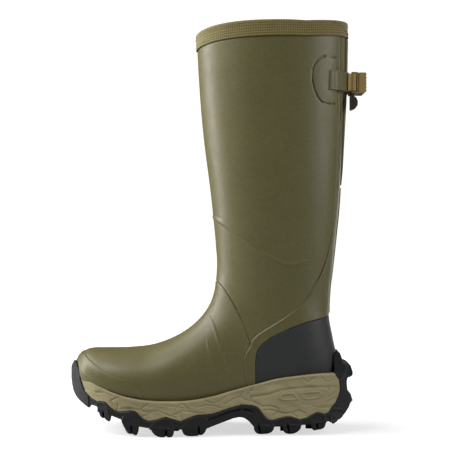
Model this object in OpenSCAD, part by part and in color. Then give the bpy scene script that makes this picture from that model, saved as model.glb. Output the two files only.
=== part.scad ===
// Left-foot insulated rubber hunting boot, knee high, with a calf gusset and a buckled back strap.
// Z is up and the lugs stand on z = 0. The toe points to -X, the heel to +X,
// and the outer side of the foot faces -Y.

/* [Boot] */
// Overall length of the sole, from toe bumper to heel spur
sole_length = 316; // [280:1:340]
// Height of the shaft's back edge above the ground
shaft_height = 450.5; // [380:0.5:470]

/* [Wall layers] */
// Thickness of the rubber panels
rubber_t = 2.0; // [1.5:0.1:3]
// Thickness of the hidden toe and heel stiffeners
stiffener_t = 0.8; // [0.6:0.1:1.5]
// Thickness of the foam lining
foam_t = 4.5; // [3:0.5:7]
// Thickness of the knit inside the foam
knit_t = 0.8; // [0.5:0.1:1.5]
// Thickness of pieces laid on top of the rubber
overlay_t = 1.1; // [0.6:0.1:2]
// Space left between neighbouring layers
layer_gap = 0.1; // [0.05:0.05:0.3]

/* [Sole] */
// How far the lugs stand out past the sole's edge
lug_out = 1.5; // [0:0.5:3]
// Thickness of the removable footbed
footbed_t = 5.0; // [3:0.5:8]
// Width of the steel shank
shank_w = 18; // [12:1:24]

/* [Back strap] */
// Height of the strap's middle
strap_z = 385.5; // [360:0.5:400]
// Width of the rubber strap tabs
tab_w = 21.5; // [15:0.5:30]
// Width of the webbing
webbing_w = 19; // [12:0.5:25]
// Thickness of the webbing
webbing_t = 1.5; // [1:0.1:2.5]
// Thickness of the buckle, front to back
buckle_t = 10.6; // [7:0.1:12]

/* [Hidden] */
around = 28;
rows = 31;
length_k = sole_length / 316;
height_k = (shaft_height - 190) / (450.5 - 190);
foam_out = rubber_t + stiffener_t + 2 * layer_gap;
knit_out = foam_out + foam_t + layer_gap;
inside = knit_out + knit_t;
buckle_x = 153.7;
buckle_mid = buckle_x + buckle_t / 2;
bar_x = 149.6;
bar_y = 17;
bar_r = 1.8;
tail_x = 149.6;
tail_z = strap_z - 15.2;
rim_lift = 5.6;

// The form of the rubber's outer face, as slices from the toe over the instep to the rim.
// [front x, front z, back x, back z, half width, middle y, widest point, upper and lower roundness]
form = [
  [-159.5, 71, -158.5, 55, 12, 8, 0.50, 2.0, 2.2],
  [-156.5, 80, -157, 52, 22, 7.5, 0.48, 2.0, 2.5],
  [-150.5, 86.5, -152.5, 49, 30.5, 6.5, 0.46, 2.0, 2.8],
  [-141, 90, -144, 46, 38.5, 5.5, 0.44, 2.1, 3.2],
  [-124, 90.5, -130, 41, 45, 4, 0.42, 2.1, 3.6],
  [-100, 91, -108, 35.5, 49.5, 2.5, 0.41, 2.1, 3.8],
  [-74, 94, -82, 30, 51, 1, 0.40, 2.1, 3.8],
  [-51, 102, -52, 28.5, 49.5, -1, 0.40, 2.1, 3.8],
  [-33, 112.5, -20, 31, 46, -1.5, 0.40, 2.1, 3.8],
  [-19, 125, 12, 36, 42.5, -1, 0.40, 2.1, 3.8],
  [-9, 139.5, 45, 41, 40.5, 0, 0.40, 2.1, 3.8],
  [-4, 154, 78, 44, 40, 0.5, 0.41, 2.1, 3.6],
  [-2, 167, 105, 46, 39.5, 0.5, 0.43, 2.1, 3.2],
  [-1, 179, 122, 51, 39.5, 0.5, 0.45, 2.1, 2.8],
  [-1, 191, 131, 64, 39.5, 0, 0.47, 2.1, 2.4],
  [-2, 203, 132.5, 82, 39.5, 0, 0.48, 2.1, 2.2],
  [-3, 216, 128.5, 103, 40, 0, 0.49, 2.1, 2.2],
  [-4.5, 230, 124.3, 127, 41, 0, 0.50, 2.1, 2.2],
  [-6, 246, 125, 154, 43, 0, 0.50, 2.1, 2.2],
  [-8, 264, 128.5, 184, 45.5, 0, 0.50, 2.1, 2.2],
  [-10.5, 284, 132, 216, 48, 0, 0.50, 2.1, 2.2],
  [-13.5, 306, 135.3, 250, 50, 0, 0.50, 2.1, 2.2],
  [-16.5, 332, 137.5, 287, 52, 0, 0.50, 2.1, 2.2],
  [-19.2, 362, 139.8, 328, 53.5, 0, 0.50, 2.1, 2.2],
  [-21.5, 396, 142.4, 378, 54.5, 0, 0.50, 2.1, 2.2],
  [-22.8, 420.5, 143.7, 434, 55, 0, 0.50, 2.1, 2.2],
  [-23.5, 436.5, 144.2, 450.5, 55, 0, 0.50, 2.1, 2.2]
];
last = len(form) - 1;

// Sole edge seen from below: [x, middle y, half width].
edge = [
  [-163.8, 9, 7], [-161, 8.5, 16], [-156, 8, 25], [-148, 7, 34], [-135, 5.5, 43],
  [-115, 3, 50], [-90, 1.5, 53], [-62, 0, 53.5], [-35, -1.5, 50.5], [-5, -1.5, 46],
  [30, -0.5, 43], [65, 0, 42], [95, 0.5, 42], [115, 0.5, 39.5], [129, 0.5, 33.5],
  [140, 0.5, 24.5], [147, 0.5, 15], [150, 0.5, 7.5]
];

// Where the tan midsole's top line runs, toe to heel: [x, z].
cup_line = [
  [-170, 74], [-158, 68], [-149.5, 61], [-128, 53], [-105, 44.5], [-81, 39.7], [-55, 38.2], [-29, 39],
  [-5, 43], [17, 49], [42, 55.5], [66.5, 61.5], [92, 64.7], [110, 66], [131, 65.8]
];

// The line where the tan midsole meets the black outsole, heel to toe.
wave_line = [
  [128, 65.5], [133, 58], [134, 49], [132, 41], [129, 34.5], [124.7, 30.5], [121, 24.6], [117.5, 22.4],
  [108, 24.8], [96, 18.7], [88.9, 16.8], [80, 20.2], [71.5, 19.9], [59, 16.2], [54.7, 17.1],
  [50.9, 21.2], [46.5, 27.4], [42.8, 31.2], [35.4, 32.8], [26, 33.6], [10.5, 29.6], [1, 26.2],
  [-7.6, 23.8], [-23, 23.2], [-31.7, 20.3], [-39.7, 16.8], [-50.7, 20.2], [-55.5, 21.7], [-67, 18.4],
  [-74.5, 17.1], [-80, 19.9], [-84.4, 24.1], [-88.7, 27.9], [-93.5, 28.5], [-105, 26.5], [-111, 27.9],
  [-116.6, 32.2], [-120.4, 36.2], [-130.6, 37.8], [-138.6, 41.4], [-144.8, 46.9], [-148, 53.5], [-150, 61]
];

// The outsole's lower face between the lugs, toe to heel.
base_line = [
  [-158, 77], [-164.3, 69], [-164.3, 58], [-160.5, 46], [-154.3, 38.4], [-146.8, 33], [-139.4, 28.8],
  [-137.4, 32.4], [-130, 31], [-115.2, 22.5], [-103.5, 18.6], [-84.8, 11.5], [-71.5, 9.5], [-46.4, 8.5],
  [-12, 8.5], [4.3, 14.5], [16.8, 19], [24.3, 20.3], [29.1, 19.2], [34.1, 15.5], [39.4, 9.5], [65.5, 9.5],
  [95.9, 11.5], [120, 14.4], [135, 14.2], [143, 17.5], [149.1, 22.2], [150.8, 26], [150.3, 33.2],
  [147.3, 41], [143, 46.5], [142.2, 56.5], [148.6, 61.4], [146, 72], [139.2, 75.3], [135, 87], [132, 87.6],
  [127, 84]
];

// Top of the outsole under the foot, inside the sole's edge.
core_line = [
  [-150, 44], [-137, 37], [-115, 28], [-103, 23.5], [-85, 16], [-50, 13.5], [-12, 14], [4, 20.5],
  [17, 24.5], [26, 25.5], [35, 23.5], [42, 15], [96, 16], [118, 18], [128, 22], [134.1, 24]
];

// Side lugs seen from the side: [start x, start z, end x, end z, foot start, foot end, foot z].
lugs = [
  [-129, 31, -115.2, 23, -126, -117, 18],
  [-101.1, 18, -84.8, 12, -97, -87, 6.5],
  [-71.5, 11, -46.4, 10, -66, -48.5, 0],
  [-38.4, 10, -11.7, 10, -34.5, -15, 0],
  [39.4, 11, 60.9, 11, 43.5, 58.5, 0],
  [70.5, 11, 90.2, 12, 73.5, 87, 0],
  [101.3, 13, 118.2, 15, 104, 114.5, 1.5],
  [122.5, 15, 139, 16, 126, 133, 8]
];
centre_lugs = [
  [-123.5, 27, 20.5], [-92, 15, 8.5], [-66, 11, 1], [-45, 10, 0], [-22, 10, 0.5], [50, 10, 0.5],
  [79, 11, 0], [107, 13, 2.5]
];

function keep(i, a, b) = max(a, min(i, b));

// A smooth curve through rows of numbers.
function through(table, t) =
  let (n = len(table) - 1, i = keep(floor(t), 0, n - 1), f = t - i,
       p1 = table[i], p2 = table[i + 1],
       p0 = i == 0 ? 2 * p1 - p2 : table[i - 1],
       p3 = i == n - 1 ? 2 * p2 - p1 : table[i + 2])
  0.5 * (2 * p1 + (p2 - p0) * f + (2 * p0 - 5 * p1 + 4 * p2 - p3) * f * f
         + (3 * p1 - p0 - 3 * p2 + p3) * f * f * f);

function power(v, n) = sign(v) * pow(abs(v), 2 / n);

// The rim stands a little higher beside the shin than at its front.
function raised(t, a) =
  let (k = keep((t - last + 4) / 4, 0, 1), b = abs((a + 180) % 360 - 180))
  rim_lift * k * k * (3 - 2 * k) * max(0, sin(1.6 * min(b, 112.5)));

// A point on the rubber's outer face. a = 0 is the front, 180 the back, 270 the outer side.
function skin0(t, a) =
  let (s = through(form, t), dx = s[0] - s[2], dz = s[1] - s[3], h = norm([dx, dz]),
       u = cos(a) > 0 ? (1 - s[6]) * power(cos(a), s[7]) : s[6] * power(cos(a), s[8]),
       v = power(sin(a), cos(a) > 0 ? s[7] : s[8]),
       x = s[2] + dx * (s[6] + u), z = s[3] + dz * (s[6] + u))
  [x * length_k, s[5] + s[4] * v, (z < 190 ? z : 190 + (z - 190) * height_k) + raised(t, a)];

// The same point moved out by d.
function skin(t, a, d) =
  let (e = 0.02, p = skin0(t, a),
       along = skin0(min(t + e, last), a) - skin0(max(t - e, 0), a),
       across = skin0(t, a + 1.5) - skin0(t, a - 1.5),
       n = cross(along, across))
  p + d * n / norm(n);

function turn(j) = 360 * (j + 0.5) / around;
function ring(t, d) = [for (j = [0:around - 1]) skin(t, turn(j), d)];
function nose(d) = (skin0(0, 0) + skin0(0, 180)) / 2 - [d * 1.0 + 1, 0, 0];

function band_faces(first, count, flip) =
  [for (i = [0:count - 1], j = [0:around - 1])
    let (k = (j + 1) % around, a = first + i * around)
    each (flip ? [[a + j, a + around + k, a + k], [a + j, a + around + j, a + around + k]]
               : [[a + j, a + k, a + around + k], [a + j, a + around + k, a + around + j]])];

function fan(tip, first, flip) =
  [for (j = [0:around - 1])
    let (k = (j + 1) % around)
    flip ? [tip, first + j, first + k] : [tip, first + k, first + j]];

// The foot-shaped solid inside a face d out from the rubber.
module form_solid(d) {
  pts = concat([for (i = [0:rows]) each ring(last * i / rows, d)], [nose(d)],
               [skin0(last, 0) * 0.5 + skin0(last, 180) * 0.5]);
  top = rows * around;
  n = (rows + 1) * around;
  faces = concat(band_faces(0, rows, false), fan(n, 0, false), fan(n + 1, top, true));
  polyhedron(pts, faces, convexity = 6);
}

// A wall between the faces d_out and d_in, open at the rim.
module form_shell(d_out, d_in) {
  block = (rows + 1) * around;
  pts = concat([for (d = [d_out, d_in], i = [0:rows]) each ring(last * i / rows, d)],
               [nose(d_out), nose(d_in)]);
  rim = [for (j = [0:around - 1])
    let (k = (j + 1) % around, a = rows * around, b = block + rows * around)
    each [[a + j, a + k, b + k], [a + j, b + k, b + j]]];
  faces = concat(band_faces(0, rows, false), band_faces(block, rows, true),
                 fan(2 * block, 0, false), fan(2 * block + 1, block, true), rim);
  polyhedron(pts, faces, convexity = 8);
}

// Stands an outline drawn in X and Z upright, between two values of y.
module upright(y0, y1) {
  translate([0, y1, 0]) rotate([90, 0, 0]) linear_extrude(height = y1 - y0) children();
}

// A shell trimmed to an outline seen from the side.
module panel(d_out, d_in, y0 = -80, y1 = 80) {
  resize([0, 0, 0]) intersection() {
    form_shell(d_out, d_in);
    upright(y0, y1) children();
  }
}

// Outlines of the rubber panels, seen from the side.
module vamp_zone() {
  polygon([[-40, 188], [-2, 166], [10, 153.5], [22.5, 132.5], [30, 113.5], [36, 96.5],
           [30.3, 86.2], [28.6, 71.2], [31.5, 54.8], [31.5, 0], [-180, 0], [-180, 120], [-60, 150]]);
}

module counter_zone() {
  polygon([[160, 137], [123, 127.5], [91, 120], [63, 108], [47, 97], [42, 86.5], [41, 74],
           [40.5, 56], [40.5, 0], [160, 0]]);
}

module back_zone() {
  polygon([[135.6, 470], [135.8, 354], [134.3, 310], [132.8, 272], [131.3, 255], [128.3, 235],
           [121.6, 197], [110.3, 169.3], [94.3, 145.4], [71, 126], [47, 111], [38, 103.3],
           [36, 96.5], [30.3, 86.2], [28.6, 71.2], [31.5, 54.8], [31.5, 0], [170, 0], [170, 470]]);
}

module line_zone(pts, w) {
  for (i = [0:len(pts) - 2]) hull() {
    translate(pts[i]) circle(d = w, $fn = 8);
    translate(pts[i + 1]) circle(d = w, $fn = 8);
  }
}

module vamp() color([0.36, 0.35, 0.22])
  panel(0, -rubber_t) offset(delta = -layer_gap) difference() {
    vamp_zone();
    counter_zone();
  }

module shaft_panel() color([0.38, 0.37, 0.24])
  panel(0, -rubber_t) offset(delta = -layer_gap) difference() {
    translate([-60, 60]) square([240, 410]);
    vamp_zone();
    back_zone();
    counter_zone();
  }

module back_quarter() color([0.37, 0.36, 0.24])
  panel(0, -rubber_t) offset(delta = -layer_gap) difference() {
    back_zone();
    vamp_zone();
    counter_zone();
  }

module heel_counter() color([0.20, 0.21, 0.21])
  panel(0, -rubber_t) offset(delta = -layer_gap) counter_zone();

// The toe's extra rubber layer ends in a line that falls from the toe tip to the sole.
module toe_guard() color([0.35, 0.34, 0.21])
  panel(layer_gap + overlay_t * 0.7, layer_gap)
    polygon([[-175, 94], [-149.6, 86.2], [-134, 76.7], [-114, 65.7], [-94.4, 56.9], [-84, 47],
             [-80.5, 40.4], [-105, 45.2], [-128, 53.7], [-149, 61.7], [-151.5, 68], [-155, 75.6],
             [-157.8, 79.8], [-175, 79.8]]);

module instep_ribs() color([0.38, 0.37, 0.24])
  panel(layer_gap + overlay_t * 0.8, layer_gap) {
    line_zone([[-11, 129], [-6, 120.6], [-1.2, 108.6], [2.7, 96.2], [6, 82], [8.7, 73], [9.6, 60]], 3);
    line_zone([[-12, 104.2], [-6.8, 80.7], [-3.3, 60]], 3);
  }

module shin_rib() color([0.38, 0.37, 0.24])
  panel(layer_gap + overlay_t * 0.8, layer_gap)
    line_zone([[9, 227.4], [26.7, 213.5], [43, 201.3], [57, 193], [70, 187], [80.4, 185], [91, 187.4],
               [100.3, 190]], 3);

// A raised rib that frames the front of the heel counter.
module side_rib() color([0.38, 0.37, 0.24])
  panel(layer_gap + overlay_t, layer_gap)
    line_zone([[35.5, 97], [30.3, 86.2], [28.6, 71.2], [30.6, 56.5]], 3.6);

// The folded calf gusset at the back, narrowing to a point.
module gusset() color([0.36, 0.35, 0.23])
  resize([0, 0, 0]) intersection() {
    form_shell(2.2, layer_gap);
    translate([100, 0, 0]) rotate([90, 0, 90]) linear_extrude(height = 60)
      polygon([[-15, 432], [-14, 340], [-9, 300], [-3, 273], [3, 273], [9, 300], [14, 340], [15, 432]]);
  }

module back_stay() color([0.36, 0.35, 0.23])
  resize([0, 0, 0]) intersection() {
    form_shell(layer_gap + overlay_t, layer_gap);
    translate([100, 0, 0]) rotate([90, 0, 90]) linear_extrude(height = 60)
      polygon([[-6, 270], [-5, 130], [5, 130], [6, 270]]);
  }

module toe_puff() color([0.75, 0.7, 0.6])
  panel(-rubber_t - layer_gap, -rubber_t - layer_gap - stiffener_t)
    polygon([[-170, 100], [-112, 100], [-100, 60], [-108, 44], [-170, 44]]);

module heel_stiffener() color([0.75, 0.7, 0.6])
  panel(-rubber_t - layer_gap, -rubber_t - layer_gap - stiffener_t)
    polygon([[60, 56], [72, 84], [100, 112], [150, 118], [150, 56]]);

module foam_lining() color([0.12, 0.12, 0.13])
  form_shell(-foam_out, -foam_out - foam_t);

module knit_liner() color([0.22, 0.22, 0.23])
  form_shell(-knit_out, -knit_out - knit_t);

// The textile tape folded over the rim.
module top_binding() color([0.47, 0.43, 0.24]) {
  low = last - 0.98;
  rise = [0, 0, 1];
  profile = [[low, layer_gap, 0], [low, 1.2, 0], [last, 1.2, 0.2], [last, 0.4, 1.3],
             [last, -inside - 0.4, 1.3], [last, -inside - 1.1, 0.2], [low, -inside - 1.1, 0],
             [low, -inside - layer_gap, 0], [last, -inside - layer_gap, layer_gap],
             [last, layer_gap, layer_gap]];
  m = len(profile);
  pts = [for (j = [0:around - 1], p = profile) skin(p[0], turn(j), p[1]) + p[2] * rise];
  faces = [for (j = [0:around - 1], i = [0:m - 1])
    let (k = (j + 1) % around, q = (i + 1) % m)
    each [[j * m + i, k * m + q, k * m + i], [j * m + i, j * m + q, k * m + q]]];
  polyhedron(pts, faces, convexity = 8);
}

// Two rows of thread round the outside of the binding.
module binding_stitching() color([0.55, 0.5, 0.28])
  for (t = [last - 0.8, last - 0.22]) {
    pts = [for (j = [0:around - 1], p = [[-0.045, 1.35], [-0.045, 1.85], [0.045, 1.85], [0.045, 1.35]])
      skin(t + p[0], turn(j), p[1])];
    faces = [for (j = [0:around - 1], i = [0:3])
      let (k = (j + 1) % around, q = (i + 1) % 4)
      each [[j * 4 + i, k * 4 + i, k * 4 + q], [j * 4 + i, k * 4 + q, j * 4 + q]]];
    polyhedron(pts, faces, convexity = 8);
  }

// Height of the inside floor above the ground, toe to heel.
floor_line = [
  [-152, 64], [-143, 57.5], [-130, 52], [-108, 46], [-82, 40.5], [-52, 39], [-20, 41.5], [12, 46.5],
  [45, 51.5], [78, 54.5], [105, 57], [124, 62]
];

module floor_zone(low, high) {
  polygon(concat([for (p = floor_line) [p[0], p[1] + high]],
                 [for (i = [len(floor_line) - 1:-1:0]) [floor_line[i][0], floor_line[i][1] + low]]));
}

module footbed() color([0.30, 0.32, 0.30])
  resize([0, 0, 0]) intersection() {
    form_solid(-inside - layer_gap - 0.2);
    upright(-60, 60) floor_zone(-20, footbed_t - 5.0);
  }

module footbed_cover() color([0.18, 0.18, 0.19])
  resize([0, 0, 0]) intersection() {
    form_solid(-inside - layer_gap - 0.2);
    upright(-60, 60) floor_zone(footbed_t - 4.9, footbed_t - 4.1);
  }

// The sole's edge from above, grown by g.
module sole_edge(g) {
  n = len(edge) - 1;
  steps = 34;
  side = [for (i = [0:steps]) through(edge, n * i / steps)];
  offset(delta = g) scale([length_k, 1]) polygon(concat(
    [for (s = side) [s[0], s[1] - s[2]]],
    [for (i = [steps:-1:0]) [side[i][0], side[i][1] + side[i][2]]]));
}

module board_edge(g) {
  offset(delta = g) polygon(concat(
    [for (i = [3:13]) [form[i][2] * length_k, form[i][5] - form[i][4] * 0.7]],
    [for (i = [13:-1:3]) [form[i][2] * length_k, form[i][5] + form[i][4] * 0.7]]));
}

module shank_edge(g) {
  translate([-15 - g, -shank_w / 2 - g]) square([105 + 2 * g, shank_w + 2 * g]);
}

module insole_board() color([0.6, 0.52, 0.4])
  resize([0, 0, 0]) intersection() {
    form_shell(1.6, layer_gap + 0.1);
    linear_extrude(height = 62) board_edge(0);
  }

module shank() color([0.6, 0.6, 0.62])
  resize([0, 0, 0]) intersection() {
    form_shell(3.2, 1.8);
    linear_extrude(height = 62) shank_edge(0);
  }

module below_wave() {
  polygon(concat(wave_line, [[-175, 62], [-175, -5], [160, -5], [160, 73]]));
}

module midsole() color([0.53, 0.49, 0.35])
  resize([0, 0, 0]) difference() {
    intersection() {
      linear_extrude(height = 90) sole_edge(-0.5);
      upright(-70, 70) polygon(concat(cup_line, [[134, 62], [134, 5], [-170, 5]]));
    }
    difference() {
      upright(-70, 70) offset(delta = layer_gap) below_wave();
      linear_extrude(height = 70) sole_edge(-13);
    }
    upright(-70, 70) polygon(concat(core_line, [[170, 24], [170, -5], [-175, -5], [-175, 90], [-150, 90]]));
    form_solid(layer_gap + 0.05);
    intersection() {
      form_solid(1.75);
      linear_extrude(height = 62) board_edge(0.4);
    }
    intersection() {
      form_solid(3.4);
      linear_extrude(height = 62) shank_edge(0.4);
    }
  }

module lug_side(l) {
  polygon([[l[0], l[1]], [l[0] + 0.5, l[1] - 4], [l[4], l[6]], [l[5], l[6]], [l[2] - 0.5, l[3] - 4],
           [l[2], l[3]]]);
}

module outsole() color([0.15, 0.155, 0.16])
  resize([0, 0, 0]) union() {
    difference() {
      intersection() {
        linear_extrude(height = 100) sole_edge(0.5);
        upright(-70, 70) intersection() {
          polygon(base_line);
          union() {
            below_wave();
            polygon([[128.6, 66], [133.2, 58], [160, 58], [160, 90], [127, 90], [127.5, 80]]);
            polygon([[-170, 60], [-150, 60], [-152, 67.5], [-155.5, 75], [-158, 79], [-170, 79]]);
          }
        }
      }
      intersection() {
        linear_extrude(height = 70) sole_edge(-12.8);
        upright(-70, 70) polygon(concat([for (p = core_line) [p[0], p[1] - layer_gap]],
                                        [[134.1, 62.3], [131, 66], [126, 66.5], [-150, 66.5]]));
      }
      form_solid(layer_gap + 0.05);
      intersection() {
        form_solid(1.75);
        linear_extrude(height = 62) board_edge(0.4);
      }
      for (m = [0, 1]) mirror([0, m, 0]) translate([120, 0, 0]) rotate([90, 0, 90])
        linear_extrude(height = 40) polygon([[50, 52], [31, 58], [24, 66], [18, 92], [50, 92]]);
    }
    for (l = lugs) intersection() {
      upright(-70, 70) lug_side(l);
      linear_extrude(height = 60) difference() {
        sole_edge(lug_out);
        sole_edge(-17);
      }
    }
    for (c = centre_lugs) for (s = [-1, 1])
      translate([c[0] - 6 + 3 * s, s * 8, c[2]])
        linear_extrude(height = c[1] - c[2] + 0.5)
          polygon([[-1, -6], [11, -6 + 2 * s], [13, 6], [1, 6 - 2 * s]]);
  }

// The raised D-shaped pads that carry the strap.
module patch_zone() {
  polygon([[131, 361.5], [124, 360.5], [115, 361], [109, 366.5], [105, 376], [103, 387.5], [104.5, 398],
           [110.5, 407], [121, 410], [131, 409]]);
}

module strap_patch_outer() color([0.37, 0.36, 0.24])
  panel(layer_gap + 1.1, layer_gap, -80, 0) patch_zone();

module strap_patch_inner() color([0.37, 0.36, 0.24])
  panel(layer_gap + 1.1, layer_gap, 0, 80) patch_zone();

// A strip of even thickness along a path, as an outline.
function aim(path, i) =
  let (n = len(path) - 1, a = path[max(i - 1, 0)], b = path[min(i + 1, n)], d = b - a)
  [-d[1], d[0]] / norm(d);

module strip(path, t) {
  n = len(path) - 1;
  polygon(concat([for (i = [0:n]) path[i] + aim(path, i) * t / 2],
                 [for (i = [n:-1:0]) path[i] - aim(path, i) * t / 2]));
}

function flat(p) = [p[0], p[1]];
strap_row = 24.15;
tab_path = concat([for (a = [222:-4.4:200]) flat(skin(strap_row, a, 2.55))], [[144.9, -17.6]]);
web_path = concat([[143.1, -21.85], [145.9, -19.75]],
                  [for (a = [-120:30:150]) [bar_x + 2.85 * cos(a), -bar_y + 2.85 * sin(a)]]);

module strap_tab() {
  translate([0, 0, strap_z - tab_w / 2]) linear_extrude(height = tab_w) strip(tab_path, 2.1);
}

module webbing() {
  translate([0, 0, strap_z - webbing_w / 2]) linear_extrude(height = webbing_w)
    strip(web_path, webbing_t);
}

module strap_tab_outer() color([0.37, 0.36, 0.24]) strap_tab();
module strap_tab_inner() color([0.37, 0.36, 0.24]) mirror([0, 1, 0]) strap_tab();
module webbing_outer() color([0.5, 0.41, 0.26]) webbing();
module webbing_inner() color([0.5, 0.41, 0.26]) mirror([0, 1, 0]) webbing();

// A block with rounded edges along Y, from y0 to y1, centred on the buckle.
module buckle_block(y0, y1, t, w, r) {
  translate([buckle_mid, y1, strap_z]) rotate([90, 0, 0]) linear_extrude(height = y1 - y0)
    offset(r = r, $fn = 24) square([t - 2 * r, w - 2 * r], center = true);
}

// The bar that the webbing turns round, with its two arms.
module webbing_bar() {
  half = webbing_w / 2 + 0.4;
  translate([bar_x, -bar_y, strap_z - half - 0.1]) cylinder(h = 2 * half + 0.2, r = bar_r, $fn = 32);
  for (s = [-1, 1])
    translate([bar_x - bar_r, -bar_y - bar_r, strap_z + s * (half + 0.8) - 0.8])
      cube([buckle_x + 1 - bar_x + bar_r, 2 * bar_r, 1.6]);
}

module buckle_female() color([0.42, 0.33, 0.2]) {
  difference() {
    buckle_block(-19.5, 9, buckle_t, 21.6, 1.6);
    buckle_block(-11, 10, 5.4, 14.4, 0.8);
    translate([buckle_mid - 2.7, -8, strap_z - 12]) cube([5.4, 18, 24]);
  }
  webbing_bar();
}

module buckle_male() color([0.4, 0.31, 0.19]) {
  buckle_block(9.3, 20, buckle_t, 21.6, 1.6);
  buckle_block(-6, 9.5, 4.4, 4.6, 0.8);
  for (s = [-1, 1])
    translate([buckle_mid - 2.2, 9.5, strap_z]) rotate([90, 0, 0]) linear_extrude(height = 4.4)
      translate([0, s * 6 - 1.3]) square([4.4, 2.6]);
  for (s = [-1, 1])
    translate([buckle_mid + 2.2, 0, strap_z]) rotate([0, -90, 0]) linear_extrude(height = 4.4)
      polygon([[s * 7.1, 9.5], [s * 4.6, 9.5], [s * 4.6, -7], [s * 7.8, -7], [s * 10.4, -3],
               [s * 10.4, 1], [s * 7.1, 1]]);
  mirror([0, 1, 0]) webbing_bar();
}

// The loop under the webbing that the loose end hangs from.
module tail_keeper() color([0.16, 0.14, 0.12])
  translate([tail_x - 3.2, -22, tail_z + 0.4]) cube([2.8, 12, strap_z - webbing_w / 2 - tail_z - 2.6]);

// The webbing's loose end, folded back on itself and sewn.
module strap_tail() color([0.36, 0.28, 0.17])
  translate([0, -9, tail_z]) rotate([90, 0, 0]) linear_extrude(height = 15)
    polygon([[146.3, 0], [149.5, 0], [152.6, -2.4], [154.2, -6], [154, -10.5], [151.4, -14.2],
             [147.8, -15.6], [146.3, -15.2]]);

vamp();
shaft_panel();
back_quarter();
heel_counter();
toe_guard();
instep_ribs();
shin_rib();
side_rib();
gusset();
back_stay();
toe_puff();
heel_stiffener();
foam_lining();
knit_liner();
top_binding();
binding_stitching();
footbed();
footbed_cover();
insole_board();
shank();
midsole();
outsole();
strap_patch_outer();
strap_patch_inner();
strap_tab_outer();
strap_tab_inner();
webbing_outer();
webbing_inner();
buckle_female();
buckle_male();
tail_keeper();
strap_tail();
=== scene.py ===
import math

import bmesh
import bpy
import numpy as np
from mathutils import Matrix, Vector


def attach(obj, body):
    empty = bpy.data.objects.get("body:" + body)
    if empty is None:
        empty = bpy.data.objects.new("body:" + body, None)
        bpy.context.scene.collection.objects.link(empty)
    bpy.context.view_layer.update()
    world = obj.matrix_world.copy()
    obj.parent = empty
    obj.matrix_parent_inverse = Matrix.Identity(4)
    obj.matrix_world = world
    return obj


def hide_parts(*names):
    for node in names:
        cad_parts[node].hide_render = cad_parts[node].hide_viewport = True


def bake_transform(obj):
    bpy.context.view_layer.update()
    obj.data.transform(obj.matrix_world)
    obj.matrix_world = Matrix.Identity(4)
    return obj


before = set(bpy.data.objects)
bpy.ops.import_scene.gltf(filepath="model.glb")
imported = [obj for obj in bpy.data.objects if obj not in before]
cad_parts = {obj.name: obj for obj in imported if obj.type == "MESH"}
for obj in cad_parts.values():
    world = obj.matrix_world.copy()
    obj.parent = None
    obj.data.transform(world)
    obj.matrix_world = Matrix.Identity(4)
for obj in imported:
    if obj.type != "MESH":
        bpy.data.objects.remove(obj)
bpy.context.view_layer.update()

# Lengths are worked out in millimetres, as in the CAD model, and meshes are made in metres.
MM = 0.001

# ---------------------------------------------------------------- the form of the boot
# Slices of the rubber's outer face, from the toe over the instep to the rim:
# front x, front z, back x, back z, half width, middle y, widest point, upper and lower roundness.
FORM = np.array([
    [-159.5, 71, -158.5, 55, 12, 8, 0.50, 2.0, 2.2],
    [-156.5, 80, -157, 52, 22, 7.5, 0.48, 2.0, 2.5],
    [-150.5, 86.5, -152.5, 49, 30.5, 6.5, 0.46, 2.0, 2.8],
    [-141, 90, -144, 46, 38.5, 5.5, 0.44, 2.1, 3.2],
    [-124, 90.5, -130, 41, 45, 4, 0.42, 2.1, 3.6],
    [-100, 91, -108, 35.5, 49.5, 2.5, 0.41, 2.1, 3.8],
    [-74, 94, -82, 30, 51, 1, 0.40, 2.1, 3.8],
    [-51, 102, -52, 28.5, 49.5, -1, 0.40, 2.1, 3.8],
    [-33, 112.5, -20, 31, 46, -1.5, 0.40, 2.1, 3.8],
    [-19, 125, 12, 36, 42.5, -1, 0.40, 2.1, 3.8],
    [-9, 139.5, 45, 41, 40.5, 0, 0.40, 2.1, 3.8],
    [-4, 154, 78, 44, 40, 0.5, 0.41, 2.1, 3.6],
    [-2, 167, 105, 46, 39.5, 0.5, 0.43, 2.1, 3.2],
    [-1, 179, 122, 51, 39.5, 0.5, 0.45, 2.1, 2.8],
    [-1, 191, 131, 64, 39.5, 0, 0.47, 2.1, 2.4],
    [-2, 203, 132.5, 82, 39.5, 0, 0.48, 2.1, 2.2],
    [-3, 216, 128.5, 103, 40, 0, 0.49, 2.1, 2.2],
    [-4.5, 230, 124.3, 127, 41, 0, 0.50, 2.1, 2.2],
    [-6, 246, 125, 154, 43, 0, 0.50, 2.1, 2.2],
    [-8, 264, 128.5, 184, 45.5, 0, 0.50, 2.1, 2.2],
    [-10.5, 284, 132, 216, 48, 0, 0.50, 2.1, 2.2],
    [-13.5, 306, 135.3, 250, 50, 0, 0.50, 2.1, 2.2],
    [-16.5, 332, 137.5, 287, 52, 0, 0.50, 2.1, 2.2],
    [-19.2, 362, 139.8, 328, 53.5, 0, 0.50, 2.1, 2.2],
    [-21.5, 396, 142.4, 378, 54.5, 0, 0.50, 2.1, 2.2],
    [-22.8, 420.5, 143.7, 434, 55, 0, 0.50, 2.1, 2.2],
    [-23.5, 436.5, 144.2, 450.5, 55, 0, 0.50, 2.1, 2.2],
])
LAST = len(FORM) - 1
RIM_LIFT = 5.6

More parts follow.
